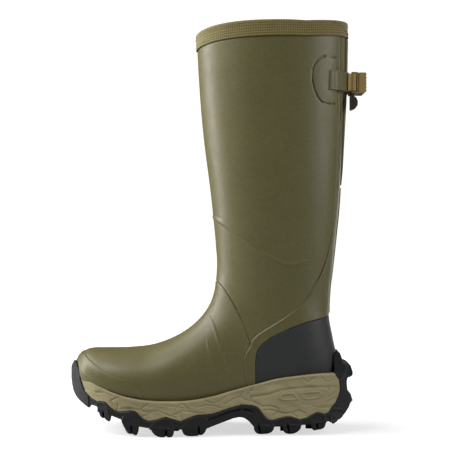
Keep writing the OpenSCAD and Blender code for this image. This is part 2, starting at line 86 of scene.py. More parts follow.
# The sole's edge from above: x, middle y, half width.
EDGE = np.array([
    [-163.8, 9, 7], [-161, 8.5, 16], [-156, 8, 25], [-148, 7, 34], [-135, 5.5, 43],
    [-115, 3, 50], [-90, 1.5, 53], [-62, 0, 53.5], [-35, -1.5, 50.5], [-5, -1.5, 46],
    [30, -0.5, 43], [65, 0, 42], [95, 0.5, 42], [115, 0.5, 39.5], [129, 0.5, 33.5],
    [140, 0.5, 24.5], [147, 0.5, 15], [150, 0.5, 7.5],
])
# Where the midsole meets the upper, toe to heel: x, z.
CUP_LINE = np.array([
    [-170, 74], [-158, 68], [-149.5, 61], [-128, 53], [-105, 44.5], [-81, 39.7], [-55, 38.2], [-29, 39],
    [-5, 43], [17, 49], [42, 55.5], [66.5, 61.5], [92, 64.7], [110, 66], [131, 65.8],
])
# Where the midsole meets the outsole, heel to toe: x, z.
WAVE_LINE = np.array([
    [128, 65.5], [133, 58], [134, 49], [132, 41], [129, 34.5], [124.7, 30.5], [121, 24.6],
    [117.5, 22.4],
    [108, 24.8], [96, 18.7], [88.9, 16.8], [80, 20.2], [71.5, 19.9], [59, 16.2], [54.7, 17.1],
    [50.9, 21.2], [46.5, 27.4], [42.8, 31.2], [35.4, 32.8], [26, 33.6], [10.5, 29.6], [1, 26.2],
    [-7.6, 23.8], [-23, 23.2], [-31.7, 20.3], [-39.7, 16.8], [-50.7, 20.2], [-55.5, 21.7], [-67, 18.4],
    [-74.5, 17.1], [-80, 19.9], [-84.4, 24.1], [-88.7, 27.9], [-93.5, 28.5], [-105, 26.5], [-111, 27.9],
    [-116.6, 32.2], [-120.4, 36.2], [-130.6, 37.8], [-138.6, 41.4], [-144.8, 46.9], [-148, 53.5],
    [-150, 61],
])

RUBBER, STIFFENER, FOAM, KNIT, GAP = 2.0, 0.8, 4.5, 0.8, 0.1
FOAM_OUT = RUBBER + STIFFENER + 2 * GAP
KNIT_OUT = FOAM_OUT + FOAM + GAP
INSIDE = KNIT_OUT + KNIT

STRAP_Z, TAB_W, WEB_W, WEB_T = 385.5, 21.5, 19.0, 1.5
BAR_X, BAR_Y = 149.6, 17.0
STRAP_ROW = 24.15

# Seams seen from the side: x, z.
BACK_SEAM = [(135.6, 470), (135.6, 432), (135.7, 398), (135.9, 354), (134.3, 310), (132.8, 272),
             (131.3, 255), (128.3, 235), (121.6, 197), (110.3, 169), (94.3, 145), (70.9, 126),
             (47.1, 111), (38.2, 103), (35.8, 96.4)]
LENS_EDGE = [(30.3, 86.2), (28.6, 71.2), (31.5, 54.8), (31.5, 0)]
VAMP_SEAM = [(-40, 188), (-2.1, 165.7), (10.1, 153.4), (22.6, 132.3), (30.2, 113.7), (35.8, 96.4)]
COUNTER_EDGE = [(160, 137), (123.2, 127.5), (90.9, 120.2), (62.8, 108), (47, 97.1), (41.8, 86.6),
                (41.2, 73.9), (41.3, 56.5), (41.3, 0)]
TOE_LINE = [(-175, 94), (-149.6, 86.2), (-142.7, 82.2), (-134, 76.7), (-125.7, 71.4), (-113.8, 65.7),
            (-103.3, 61.9), (-94.4, 56.9), (-88.3, 51.4), (-84, 46.9), (-81, 41)]
PATCH = [(131, 361.5), (124, 360.5), (115, 361), (109, 366.5), (105, 376), (103, 387.5), (104.5, 398),
         (110.5, 407), (121, 410), (131, 409)]


def smooth_line(points, per=6):
    """A Catmull-Rom curve through a few points."""
    p = np.array(points, float)
    return through(p, np.linspace(0, len(p) - 1, (len(p) - 1) * per + 1))


def through(table, t):
    """A smooth curve through rows of numbers, at t."""
    n = len(table) - 1
    i = np.clip(np.floor(t).astype(int), 0, n - 1)
    f = (t - i)[..., None]
    p1, p2 = table[i], table[i + 1]
    p0 = np.where((i == 0)[..., None], 2 * p1 - p2, table[np.maximum(i - 1, 0)])
    p3 = np.where((i == n - 1)[..., None], 2 * p2 - p1, table[np.minimum(i + 2, n)])
    return 0.5 * (2 * p1 + (p2 - p0) * f + (2 * p0 - 5 * p1 + 4 * p2 - p3) * f ** 2
                  + (3 * p1 - p0 - 3 * p2 + p3) * f ** 3)


def power(v, n):
    return np.sign(v) * np.abs(v) ** (2 / n)


def ease(v):
    """0 below 0, 1 above 1, and smooth between."""
    v = np.clip(v, 0, 1)
    return v * v * (3 - 2 * v)


def skin0(t, a):
    """A point on the rubber's outer face. a is 0 in front, pi behind, 3 pi / 2 on the outer side."""
    t, a = np.broadcast_arrays(np.asarray(t, float), np.asarray(a, float))
    s = through(FORM, t)
    c, sn = np.cos(a), np.sin(a)
    round_ = np.where(c > 0, s[..., 7], s[..., 8])
    wide = s[..., 6]
    k = wide + np.where(c > 0, 1 - wide, wide) * power(c, round_)
    x = s[..., 2] + (s[..., 0] - s[..., 2]) * k
    z = s[..., 3] + (s[..., 1] - s[..., 3]) * k
    y = s[..., 5] + s[..., 4] * power(sn, round_)
    side = np.abs((np.degrees(a) + 180) % 360 - 180)
    z = z + RIM_LIFT * ease((t - LAST + 4) / 4) * np.maximum(0,
                                                             np.sin(np.radians(1.6 *
                                                                     np.minimum(side, 112.5))))
    return np.stack([x, y, z], -1)


def skin(t, a, d=0.0):
    """The same point moved out by d, and the direction outwards."""
    t, a = np.broadcast_arrays(np.asarray(t, float), np.asarray(a, float))
    e, turn = 0.02, math.radians(1.5)
    along = skin0(np.minimum(t + e, LAST), a) - skin0(np.maximum(t - e, 0), a)
    across = skin0(t, a + turn) - skin0(t, a - turn)
    n = np.cross(along, across)
    n /= np.linalg.norm(n, axis=-1, keepdims=True)
    return skin0(t, a) + n * np.asarray(d)[..., None], n


# ---------------------------------------------------------------- distances and relief
def inside_of(outline, u, v):
    """Distance in from a closed outline, below 0 outside it."""
    p = np.array(outline, float)
    q = np.roll(p, -1, 0)
    near = np.full(u.shape, 1e9)
    within = np.zeros(u.shape, bool)
    for (x0, z0), (x1, z1) in zip(p, q):
        dx, dz = x1 - x0, z1 - z0
        k = np.clip(((u - x0) * dx + (v - z0) * dz) / (dx * dx + dz * dz + 1e-12), 0, 1)
        near = np.minimum(near, np.hypot(u - x0 - k * dx, v - z0 - k * dz))
        if abs(dz) > 1e-12:
            within ^= ((z0 > v) != (z1 > v)) & (u < (v - z0) / dz * dx + x0)
    return np.where(within, near, -near)


def from_line(line, u, v):
    """Distance from an open line."""
    p = np.array(line, float)
    near = np.full(u.shape, 1e9)
    for (x0, z0), (x1, z1) in zip(p[:-1], p[1:]):
        dx, dz = x1 - x0, z1 - z0
        k = np.clip(((u - x0) * dx + (v - z0) * dz) / (dx * dx + dz * dz + 1e-12), 0, 1)
        near = np.minimum(near, np.hypot(u - x0 - k * dx, v - z0 - k * dz))
    return near


def bell(d, w):
    return np.exp(-(d / w) ** 2)


# ---------------------------------------------------------------- mesh tools
def split(rows, faces, field, level, clip=False):
    """Cuts faces where the field crosses a level. With clip, what lies below it goes."""
    f = rows[:, field] - level
    f[np.abs(f) < 1e-6] = 0
    made, extra, kept = {}, [], []
    n = len(rows)

    def crossing(i, j):
        key = (i, j) if i < j else (j, i)
        if key not in made:
            w = f[i] / (f[i] - f[j])
            row = rows[i] * (1 - w) + rows[j] * w
            row[field] = level
            made[key] = n + len(extra)
            extra.append(row)
        return made[key]

    for face in faces:
        side = [f[i] for i in face]
        low, high = min(side), max(side)
        if low >= 0:
            kept.append(face)
            continue
        if high <= 0:
            if not clip:
                kept.append(face)
            continue
        above, below = [], []
        for k, i in enumerate(face):
            j = face[(k + 1) % len(face)]
            if f[i] >= 0:
                above.append(i)
            if f[i] <= 0:
                below.append(i)
            if f[i] * f[j] < 0:
                c = crossing(i, j)
                above.append(c)
                below.append(c)
        if len(above) > 2:
            kept.append(tuple(above))
        if len(below) > 2 and not clip:
            kept.append(tuple(below))
    if extra:
        rows = np.vstack([rows, np.array(extra)])
    return rows, kept


def tidy(rows, faces):
    """Drops unused rows."""
    used = np.unique(np.concatenate([np.array(f) for f in faces]))
    where = np.full(len(rows), -1)
    where[used] = np.arange(len(used))
    return rows[used], [tuple(int(where[i]) for i in f) for f in faces]


def thick(outer, inner, faces):
    """A closed solid from an outer sheet of faces and the matching inner points."""
    n = len(outer)
    edges = set()
    for f in faces:
        edges.update(zip(f, f[1:] + f[:1]))
    walls = [(b, a, a + n, b + n) for a, b in edges if (b, a) not in edges]
    back = [tuple(i + n for i in reversed(f)) for f in faces]
    return np.vstack([outer, inner]), faces + back + walls


def outward(points, faces):
    """The faces of a closed solid, turned outwards."""
    volume = 0.0
    for size in {len(f) for f in faces}:
        ring = points[np.array([f for f in faces if len(f) == size])]
        for k in range(1, size - 1):
            volume += np.einsum("ij,ij->", ring[:, 0], np.cross(ring[:, k], ring[:, k + 1]))
    return faces if volume >= 0 else [tuple(reversed(f)) for f in faces]


def make(name, points, faces, mat, slot_name, body="boot", stands_for=(), uv=None, crease=40,
         ride=True):
    """A Blender object from points in millimetres, with its material, body and CAD nodes; slot_name is
    not used.
    """
    mesh = bpy.data.meshes.new(name)
    mesh.from_pydata((np.asarray(points) * MM).tolist(), [], faces)
    mesh.validate()
    if uv is not None:
        layer = mesh.uv_layers.new(name="UVMap")
        loops = np.empty(len(mesh.loops), int)
        mesh.loops.foreach_get("vertex_index", loops)
        layer.data.foreach_set("uv", (np.asarray(uv)[loops] * MM).astype(np.float32).ravel())
    obj = bpy.data.objects.new(name, mesh)
    bpy.context.collection.objects.link(obj)
    finish_piece(obj, mat, body, stands_for, crease, ride)
    return obj


def finish_piece(obj, mat, body="boot", stands_for=(), crease=40, ride=True):
    mesh = obj.data
    mesh.materials.clear()
    mesh.materials.append(mat)
    mesh.polygons.foreach_set("use_smooth", [True] * len(mesh.polygons))
    mesh.set_sharp_from_angle(angle=math.radians(crease))
    mesh.update()
    if ride:
        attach(obj, body)
    if stands_for:
        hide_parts(*stands_for)


def grid_faces(m, n, wrap):
    """Quads over m rows of n points."""
    cols = n if wrap else n - 1
    return [(i * n + j, (i + 1) * n + j, (i + 1) * n + (j + 1) % n, i * n + (j + 1) % n)
            for i in range(m - 1) for j in range(cols)]


def sheet_over(t, a, field, clip_levels, wrap):
    """Points and outward directions over rows t and angles a, with the field clipped at 0."""
    tt, aa = np.meshgrid(t, a, indexing="ij")
    p, n = skin(tt, aa)
    rows = np.concatenate([p.reshape(-1, 3), n.reshape(-1, 3), field(p.reshape(-1, 3))[:, None]], 1)
    faces = grid_faces(len(t), len(a), wrap)
    s = rows[:, 6]
    near = [f for f in faces if max(s[f[0]], s[f[1]], s[f[2]], s[f[3]]) > 0]
    rows, faces = split(rows, near, 6, 0, clip=True)
    for level in clip_levels:
        rows, faces = split(rows, faces, 6, level)
    return tidy(rows, faces)


def rolled(s, radius, drop):
    """How far an edge falls away within a radius of the seam."""
    k = np.clip(1 - s / radius, 0, 1)
    return -drop * (1 - np.sqrt(np.maximum(0, 1 - k * k)))


def skin_piece(name, t, a, field, relief, inner, mat, slot_name, nodes, wrap=False,
               levels=(0.35, 0.8, 1.5), edge=(1.5, 0.9), crease=50, cap=False):
    """A piece that follows the boot's form, from an inner depth to a relief, with rolled edges."""
    rows, faces = sheet_over(t, a, field, levels, wrap)
    p, n, s = rows[:, :3], rows[:, 3:6], rows[:, 6]
    if cap:
        faces.append(tuple(range(len(a))))
    out = p + n * (relief(p) + rolled(s, *edge))[:, None]
    pts, faces = thick(out, p + n * inner, faces)
    return make(name, pts, faces, mat, slot_name, stands_for=nodes, crease=crease)


def copy_of(node):
    """A welded copy of a CAD node's mesh."""
    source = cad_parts[node]
    mesh = source.data.copy()
    mesh.transform(source.matrix_world)
    work = bmesh.new()
    work.from_mesh(mesh)
    bmesh.ops.remove_doubles(work, verts=work.verts, dist=2e-6)
    bmesh.ops.dissolve_degenerate(work, edges=work.edges, dist=1e-6)
    work.to_mesh(mesh)
    work.free()
    return mesh


def apply_modifiers(obj):
    """The object's mesh with its modifiers applied."""
    bpy.context.view_layer.update()
    mesh = bpy.data.meshes.new_from_object(obj.evaluated_get(bpy.context.evaluated_depsgraph_get()))
    old = obj.data
    obj.modifiers.clear()
    obj.data = mesh
    bpy.data.meshes.remove(old)


def softened(name, mesh, voxel, passes, steps=()):
    """A mesh with solids taken away or added in steps, its edges rounded and its faces made even."""
    obj = bpy.data.objects.new(name, mesh)
    bpy.context.collection.objects.link(obj)
    tools = []
    for kind, solids in steps:
        tool_mesh = bpy.data.meshes.new(name + "_tool")
        points, faces = joined(solids)
        tool_mesh.from_pydata((points * MM).tolist(), [], faces)
        tools.append(bpy.data.objects.new(name + "_tool", tool_mesh))
        bpy.context.collection.objects.link(tools[-1])
        cut = obj.modifiers.new("cut", "BOOLEAN")
        cut.object, cut.operation, cut.solver = tools[-1], kind, "MANIFOLD"
    remesh = obj.modifiers.new("even", "REMESH")
    remesh.mode, remesh.voxel_size, remesh.adaptivity = "VOXEL", voxel * MM, 0.0
    if passes:
        smooth = obj.modifiers.new("smooth", "SMOOTH")
        smooth.factor, smooth.iterations = 0.5, passes
    apply_modifiers(obj)
    for tool in tools:
        bpy.data.objects.remove(tool)
    return obj


def joined(solids):
    """Several solids as one list of points and faces."""
    faces, start = [], 0
    for pts, part in solids:
        faces += [tuple(i + start for i in f) for f in part]
        start += len(pts)
    return np.concatenate([pts for pts, _ in solids]), faces


def moved(obj, change):
    """Moves an object's points by a rule that takes points and outward directions in millimetres."""
    mesh = obj.data
    count = len(mesh.vertices)
    co, no = np.empty(count * 3), np.empty(count * 3)
    mesh.vertices.foreach_get("co", co)
    mesh.vertex_normals.foreach_get("vector", no)
    p = change(co.reshape(-1, 3) / MM, no.reshape(-1, 3))
    mesh.vertices.foreach_set("co", (p * MM).ravel())
    mesh.update()


def block(x, y, z):
    """A box from three ranges."""
    pts = np.array([(x[i], y[j], z[k]) for i in (0, 1) for j in (0, 1) for k in (0, 1)], float)
    return pts, [(0, 1, 3, 2), (4, 6, 7, 5), (0, 4, 5, 1), (2, 3, 7, 6), (0, 2, 6, 4), (1, 5, 7, 3)]


def prism(outline, y0, y1):
    """An outline in x and z carried from y0 to y1."""
    p = np.array(outline, float)
    area = np.sum(p[:, 0] * np.roll(p[:, 1], -1) - np.roll(p[:, 0], -1) * p[:, 1])
    if area < 0:
        p = p[::-1]
    n = len(p)
    pts = np.array([(x, y, z) for y in (y0, y1) for x, z in p])
    faces = [(i, (i + 1) % n, n + (i + 1) % n, n + i) for i in range(n)]
    return pts, faces + [tuple(reversed(range(n))), tuple(range(n, 2 * n))]


# ---------------------------------------------------------------- materials
class Shader:
    """A small builder of node materials on one Principled shader."""

    def __init__(self, name, roughness=0.5, specular=0.5, sheen=0.0, metallic=0.0, coat=0.0):
        self.mat = bpy.data.materials.new(name)
        self.mat.use_nodes = True
        self.nodes, self.links = self.mat.node_tree.nodes, self.mat.node_tree.links
        self.shader = self.nodes["Principled BSDF"]
        self.shader.inputs["Roughness"].default_value = roughness
        self.shader.inputs["Specular IOR Level"].default_value = specular
        self.shader.inputs["Sheen Weight"].default_value = sheen
        self.shader.inputs["Metallic"].default_value = metallic
        self.shader.inputs["Coat Weight"].default_value = coat
        self.where = self.nodes.new("ShaderNodeTexCoord")
        self.height = None

    def node(self, kind, **inputs):
        made = self.nodes.new("ShaderNode" + kind)
        for key, value in inputs.items():
            socket = made.inputs[key.replace("_", " ")]
            if isinstance(value, bpy.types.NodeSocket):
                self.links.new(value, socket)
            else:
                socket.default_value = value
        return made

    def place(self, coords="Object", scale=(1, 1, 1)):
        return self.node("Mapping", Vector=self.where.outputs[coords], Scale=scale).outputs[0]

    def noise(self, scale, detail=3, rough=0.55, coords="Object", stretch=(1, 1, 1)):
        made = self.node("TexNoise", Vector=self.place(coords, stretch), Scale=scale, Detail=detail,
                         Roughness=rough)
        return made.outputs["Fac"]

    def waves(self, scale, axis, coords="Object", distortion=0.0, stretch=(1, 1, 1)):
        made = self.node("TexWave", Vector=self.place(coords, stretch), Scale=scale,
                         Distortion=distortion)
        made.wave_type, made.bands_direction = "BANDS", axis
        return made.outputs["Fac"]

    def math(self, kind, a, b=0.5):
        made = self.nodes.new("ShaderNodeMath")
        made.operation = kind
        for i, value in enumerate((a, b)):
            if isinstance(value, bpy.types.NodeSocket):
                self.links.new(value, made.inputs[i])
            else:
                made.inputs[i].default_value = value
        return made.outputs[0]

    def ramp(self, value, low, high, start=0.3, end=0.7):
        made = self.node("ValToRGB", Fac=value)
        made.color_ramp.elements[0].position, made.color_ramp.elements[1].position = start, end
        made.color_ramp.elements[0].color = (*low, 1)
        made.color_ramp.elements[1].color = (*high, 1)
        return made.outputs[0]

    def spread(self, value, low, high, start=0.3, end=0.7):
        made = self.node("MapRange", Value=value)
        for key, number in zip(("From Min", "From Max", "To Min", "To Max"), (start, end, low, high)):
            made.inputs[key].default_value = number
        return made.outputs[0]

    def blend(self, kind, amount, a, b):
        made = self.nodes.new("ShaderNodeMix")
        made.data_type, made.blend_type = "RGBA", kind
        for i, value in ((0, amount), (6, a), (7, b)):
            if isinstance(value, bpy.types.NodeSocket):
                self.links.new(value, made.inputs[i])
            else:
                made.inputs[i].default_value = (*value, 1) if i else value
        return made.outputs[2]

    def colour(self, value):
        self.links.new(value, self.shader.inputs["Base Color"])

    def gloss(self, value):
        self.links.new(value, self.shader.inputs["Roughness"])

    def bump(self, height, depth_mm, strength=1.0):
        made = self.node("Bump", Height=height, Distance=depth_mm * MM, Strength=strength)
        if self.height is not None:
            self.links.new(self.height, made.inputs["Normal"])
        self.height = made.outputs[0]
        self.links.new(self.height, self.shader.inputs["Normal"])

    def worn(self, colour, lighter, amount=0.5):
        """Lightens the ridges, where rubber and plastic rub."""
        edge = self.nodes.new("ShaderNodeNewGeometry").outputs["Pointiness"]
        return self.blend("MIX", self.spread(edge, 0.0, amount, 0.52, 0.62), colour, lighter)


def mixed(colour, k):
    return tuple(c * k for c in colour)


def rubber(name, colour, roughness, specular, grain=1.0, wear=None):
    """Moulded rubber: cloudy colour, a faint bloom, fine pebble and tiny pits."""
    s = Shader(name, roughness=roughness, specular=specular)
    cloud = s.ramp(s.noise(11, 4), mixed(colour, 0.93), mixed(colour, 1.07))
    speck = s.math("MULTIPLY", s.spread(s.noise(1300, 2), 0.93, 1.06),
                   s.spread(s.noise(260, 4, 0.65, stretch=(1, 1, 2.2)), 0.88, 1.1, 0.35, 0.68))
    tint = s.blend("MULTIPLY", 1.0, cloud,
                   s.node("CombineColor", Red=speck, Green=speck, Blue=speck).outputs[0])
    bloom = s.blend("MIX", s.spread(s.noise(38, 5, 0.6), 0.0, 0.10, 0.45, 0.8), tint,
                    tuple(c * 1.35 + 0.01 for c in colour))
    s.colour(s.worn(bloom, wear, 0.45) if wear else bloom)
    s.gloss(s.spread(s.noise(70, 4), roughness - 0.05, roughness + 0.06))
    s.bump(s.noise(16, 2), 0.35 * grain, 0.5)
    s.bump(s.noise(210, 4, 0.6, stretch=(1, 1, 2.4)), 0.05 * grain)
    s.bump(s.noise(700, 3), 0.03 * grain)
    s.bump(s.noise(2600, 2), 0.012 * grain)
    return s.mat


OLIVE = (0.100, 0.089, 0.031)


def tape_material(name, colour, thread_mm=1.0, sheen=0.3):
    """Woven tape: rows of threads over and under, with a soft sheen."""
    s = Shader(name, roughness=0.8, specular=0.25, sheen=sheen)
    s.shader.inputs["Sheen Roughness"].default_value = 0.5
    turns = 1000 / thread_mm / 20 * math.pi
    warp = s.waves(turns, "X", "UV")
    weft = s.waves(turns * 0.92, "Y", "UV", distortion=0.3)
    weave = s.math("MULTIPLY", warp, weft)
    fuzz = s.noise(1800, 3)
    cloth = s.ramp(s.math("ADD", weave, s.math("MULTIPLY", fuzz, 0.35)), mixed(colour, 0.55),
                   mixed(colour, 1.2),
                   0.15, 0.95)
    s.colour(s.blend("MULTIPLY", 0.5, cloth, s.ramp(s.noise(55, 3), (0.8, 0.8, 0.78), (1, 1, 1))))
    s.gloss(s.spread(fuzz, 0.7, 0.9))
    s.bump(weave, 0.16)
    s.bump(fuzz, 0.06)
    return s.mat


def foam_rubber(name, colour):
    """Moulded EVA: matte, with fine cells and painted shade in its low parts."""
    s = Shader(name, roughness=0.72, specular=0.3)
    base = s.ramp(s.noise(30, 5, 0.6), mixed(colour, 0.86), mixed(colour, 1.1))
    # Painted shade: where pointiness is low, in creases and hollows, the colour falls towards half.
    painted_crease_shade = s.blend("MIX", s.spread(s.nodes.new("ShaderNodeNewGeometry").outputs["Pointiness"], 0.5, 0.0,
                                   0.42, 0.5),
                   base, mixed(colour, 0.5))
    cells = s.node("TexVoronoi", Vector=s.place(), Scale=900).outputs["Distance"]
    s.colour(s.blend("MULTIPLY", 0.35, painted_crease_shade, s.ramp(cells, (1, 1, 1), (0.7, 0.68, 0.62), 0.2, 0.9)))
    s.gloss(s.spread(s.noise(120, 3), 0.62, 0.8))
    s.bump(cells, 0.03)
    s.bump(s.noise(420, 3), 0.07)
    return s.mat


def plastic(name, colour):
    """Moulded plastic with a fine spark-eroded texture and rubbed corners."""
    s = Shader(name, roughness=0.42, specular=0.45)
    base = s.ramp(s.noise(90, 3), mixed(colour, 0.9), mixed(colour, 1.08))
    s.colour(s.worn(base, tuple(c * 1.5 + 0.03 for c in colour), 0.6))
    s.gloss(s.spread(s.noise(300, 3), 0.36, 0.52))
    s.bump(s.noise(2200, 2), 0.02)
    return s.mat


def knit_material(name, colour):
    """Dark jersey: fine ribs with short loops."""
    s = Shader(name, roughness=0.9, specular=0.2, sheen=0.35)
    ribs = s.waves(330, "X", "UV", distortion=0.6)
    loops = s.waves(420, "DIAGONAL", "UV", distortion=1.0)
    yarn = s.math("MULTIPLY", ribs, loops)
    s.colour(s.ramp(yarn, mixed(colour, 0.5), mixed(colour, 1.5), 0.05, 0.8))
    s.gloss(s.spread(s.noise(500, 3), 0.8, 0.98))
    s.bump(yarn, 0.3)
    s.bump(s.noise(2500, 2), 0.08)
    return s.mat


def cell_foam(name, colour):
    """Closed-cell foam: small round cells in a matte skin."""
    s = Shader(name, roughness=0.85, specular=0.25)
    cells = s.node("TexVoronoi", Vector=s.place(), Scale=1100).outputs["Distance"]
    s.colour(s.ramp(cells, mixed(colour, 1.3), mixed(colour, 0.6), 0.1, 0.8))
    s.gloss(s.spread(s.noise(200, 2), 0.78, 0.92))
    s.bump(cells, 0.12)
    return s.mat


def fibre_board(name, colour):
    """Pressed fibre board with long flecks."""
    s = Shader(name, roughness=0.85, specular=0.2)
    fleck = s.noise(260, 5, 0.7, stretch=(1, 3, 3))
    s.colour(s.ramp(fleck, mixed(colour, 0.7), mixed(colour, 1.15), 0.35, 0.7))
    s.gloss(s.spread(fleck, 0.75, 0.95))
    s.bump(fleck, 0.1)
    return s.mat


def brushed_steel(name):
    """Cold-rolled strip steel, brushed along its length."""
    s = Shader(name, roughness=0.35, specular=0.5, metallic=1.0)
    lines = s.noise(900, 4, 0.6, stretch=(0.04, 1, 1))
    s.colour(s.ramp(lines, (0.42, 0.42, 0.44), (0.58, 0.58, 0.6)))
    s.gloss(s.spread(lines, 0.26, 0.46))
    s.bump(lines, 0.01)
    return s.mat


def thread_material(name, colour):
    """Twisted sewing thread."""
    s = Shader(name, roughness=0.6, specular=0.35, sheen=0.3)
    twist = s.waves(900, "DIAGONAL", distortion=0.5)
    s.colour(s.ramp(twist, mixed(colour, 0.7), mixed(colour, 1.2), 0.1, 0.9))
    s.gloss(s.spread(twist, 0.5, 0.7))
    s.bump(twist, 0.05)
    return s.mat


MATS = {
    "olive": rubber("olive_rubber", OLIVE, 0.44, 0.42, wear=tuple(c * 1.6 for c in OLIVE)),
    "charcoal": rubber("charcoal_rubber", (0.021, 0.022, 0.0225), 0.55, 0.4, 1.2),
    "black": rubber("black_rubber", (0.0085, 0.0088, 0.009), 0.58, 0.3, 1.6, wear=(0.03, 0.03, 0.03)),
    "midsole": foam_rubber("tan_foam", (0.29, 0.253, 0.139)),
    "tape": tape_material("olive_tape", (0.19, 0.154, 0.042), 1.25),
    "thread": thread_material("thread", (0.20, 0.17, 0.07)),
    "webbing": tape_material("tan_webbing", (0.38, 0.26, 0.085), 0.8),
    "buckle": plastic("buckle_plastic", (0.25, 0.18, 0.056)),
    # Near-black keeper plastic: partly its own colour, partly painted shade under the buckle.
    "dark_keeper_and_shade": plastic("dark_keeper_and_shade", (0.018, 0.015, 0.010)),
    # The strap's tail is the tan webbing coloured dark brown: painted shade behind the buckle.
    "tail": tape_material("shade_darkened_webbing", (0.045, 0.030, 0.012), 0.8),
    "knit": knit_material("knit", (0.03, 0.03, 0.031)),
    "cover": knit_material("footbed_cover", (0.035, 0.035, 0.037)),
    "foam": cell_foam("foam", (0.022, 0.022, 0.024)),
    "footbed": cell_foam("footbed_foam", (0.08, 0.09, 0.08)),
    "board": fibre_board("fibre_board", (0.42, 0.33, 0.21)),
    "steel": brushed_steel("shank_steel"),
}

# ---------------------------------------------------------------- camera, light and floor
def camera():
    data = bpy.data.cameras.new("camera")
    data.sensor_width, data.lens = 36, 89.3
    data.clip_end = 20
    cam = bpy.data.objects.new("camera", data)
    cam.location = (0.0081, -1.25, 0.228)
    cam.rotation_euler = (math.radians(90), 0, 0)
    bpy.context.collection.objects.link(cam)
    bpy.context.scene.camera = cam


def softbox(name, place, aim, size, power_w, shape="RECTANGLE"):
    data = bpy.data.lights.new(name, "AREA")
    data.shape, data.size, data.size_y, data.energy = shape, size[0], size[1], power_w
    lamp = bpy.data.objects.new(name, data)
    lamp.location = place
    lamp.rotation_euler = (Vector(aim) - Vector(place)).to_track_quat("-Z", "Y").to_euler()
    bpy.context.collection.objects.link(lamp)


def studio():
    world = bpy.data.worlds.new("studio")
    world.use_nodes = True
    nodes, links = world.node_tree.nodes, world.node_tree.links
    seen, lit = nodes["Background"], nodes.new("ShaderNodeBackground")
    mix = nodes.new("ShaderNodeMixShader")
    links.new(nodes.new("ShaderNodeLightPath").outputs["Is Camera Ray"], mix.inputs[0])
    for shader, strength, place in ((lit, 0.17, 1), (seen, 1.0, 2)):
        shader.inputs["Color"].default_value = (1, 1, 1, 1)
        shader.inputs["Strength"].default_value = strength
        links.new(shader.outputs[0], mix.inputs[place])
    links.new(mix.outputs[0], nodes["World Output"].inputs["Surface"])
    bpy.context.scene.world = world
    bpy.context.scene.view_settings.view_transform = "Standard"
    softbox("top_left", (-1.1, 0.45, 1.2), (-0.04, 0.0, 0.12), (0.8, 0.8), 12)
    softbox("key_upper_left", (-1.05, -0.55, 1.35), (-0.02, 0.0, 0.3), (1.1, 1.1), 25)
    softbox("strip_left", (-1.35, 0.12, 0.45), (0.0, 0.0, 0.28), (0.55, 1.3), 24)
    softbox("fill_right", (1.35, -0.55, 0.75), (0.05, 0.0, 0.26), (0.8, 1.2), 13.5)
    softbox("rim_right", (0.8, 1.1, 0.5), (0.1, 0.0, 0.28), (0.5, 1.2), 3.5)


def sweep_floor():
    """A floor that curves up into a backdrop, in white card that glows for camera rays, less near the
    boot.
    """
    s = Shader("glowing_white_card", roughness=0.9, specular=0.05)
    s.colour(s.ramp(s.noise(6, 3), (0.38, 0.38, 0.38), (0.40, 0.40, 0.40)))
    s.bump(s.noise(400, 3), 0.02)
    s.shader.inputs["Emission Color"].default_value = (1, 1, 1, 1)
    # Painted glow: the card shines for camera rays only, 0.64 near the boot rising to 1.0 far off.
    away = s.node("VectorMath", Vector=s.where.outputs["Object"])
    away.operation = "LENGTH"
    glow = s.math("MULTIPLY", s.nodes.new("ShaderNodeLightPath").outputs["Is Camera Ray"],
                  s.spread(away.outputs["Value"], 0.64, 1.0, 0.17, 0.75))
    s.links.new(glow, s.shader.inputs["Emission Strength"])
    half, far, radius, height = 6.0, 5.0, 1.2, 6.0
    line = [(-4.0, 0.0), (far - radius, 0.0)]
    line += [(far - radius + radius * math.sin(k), radius - radius * math.cos(k))
             for k in np.linspace(0.1, math.pi / 2, 14)]
    line.append((far, height))
    pts = [(x / MM, y / MM, z / MM) for y, z in line for x in (-half, half)]
    faces = [(2 * i, 2 * i + 1, 2 * i + 3, 2 * i + 2) for i in range(len(line) - 1)]
    mesh = bpy.data.meshes.new("floor")
    mesh.from_pydata((np.array(pts) * MM).tolist(), [], faces)
    mesh.materials.append(s.mat)
    mesh.polygons.foreach_set("use_smooth", [True] * len(mesh.polygons))
    floor = bpy.data.objects.new("floor", mesh)
    bpy.context.collection.objects.link(floor)


camera()
studio()
sweep_floor()

# ---------------------------------------------------------------- rubber panels
AROUND = 380
DENSE = 1.0


def rows_between(stops):
    """Rows of t, from (start, end, rows for each slice)."""
    parts = [np.linspace(a, b, int((b - a) * per * DENSE) + 1)[:-1] for a, b, per in stops]
    return np.concatenate(parts + [[stops[-1][1]]])


ROWS = rows_between([(0, 14, 12), (14, 20, 15), (20, 22, 18), (22, 25.5, 34), (25.5, LAST, 24)])
TURNS = 2 * np.pi * (np.arange(AROUND) + 0.5) / AROUND

VAMP_ZONE = (smooth_line(VAMP_SEAM).tolist() + smooth_line([VAMP_SEAM[-1]] + LENS_EDGE[:3]).tolist()
             + [(31.5, 0), (-190, 0), (-190, 130), (-60, 190)])
BACK_ZONE = (smooth_line(BACK_SEAM).tolist() + smooth_line([BACK_SEAM[-1]] + LENS_EDGE[:3]).tolist()
             + [(31.5, -20), (190, -20), (190, 470)])
COUNTER_ZONE = smooth_line(COUNTER_EDGE[:8]).tolist() + [(41.3, -20), (190, -20), (190, 137)]
QUARTER_EDGE = smooth_line(BACK_SEAM[6:] + LENS_EDGE[:3])
TOE_EDGE = smooth_line(TOE_LINE)


SEAM_GAP = 0.12
TAPE_EDGE = skin(LAST - 0.96, np.linspace(0, math.pi, 60))[0][:, [0, 2]]
PATCH_EDGE = smooth_line(PATCH[:1] + PATCH + PATCH[-1:], 5)[5:-5]


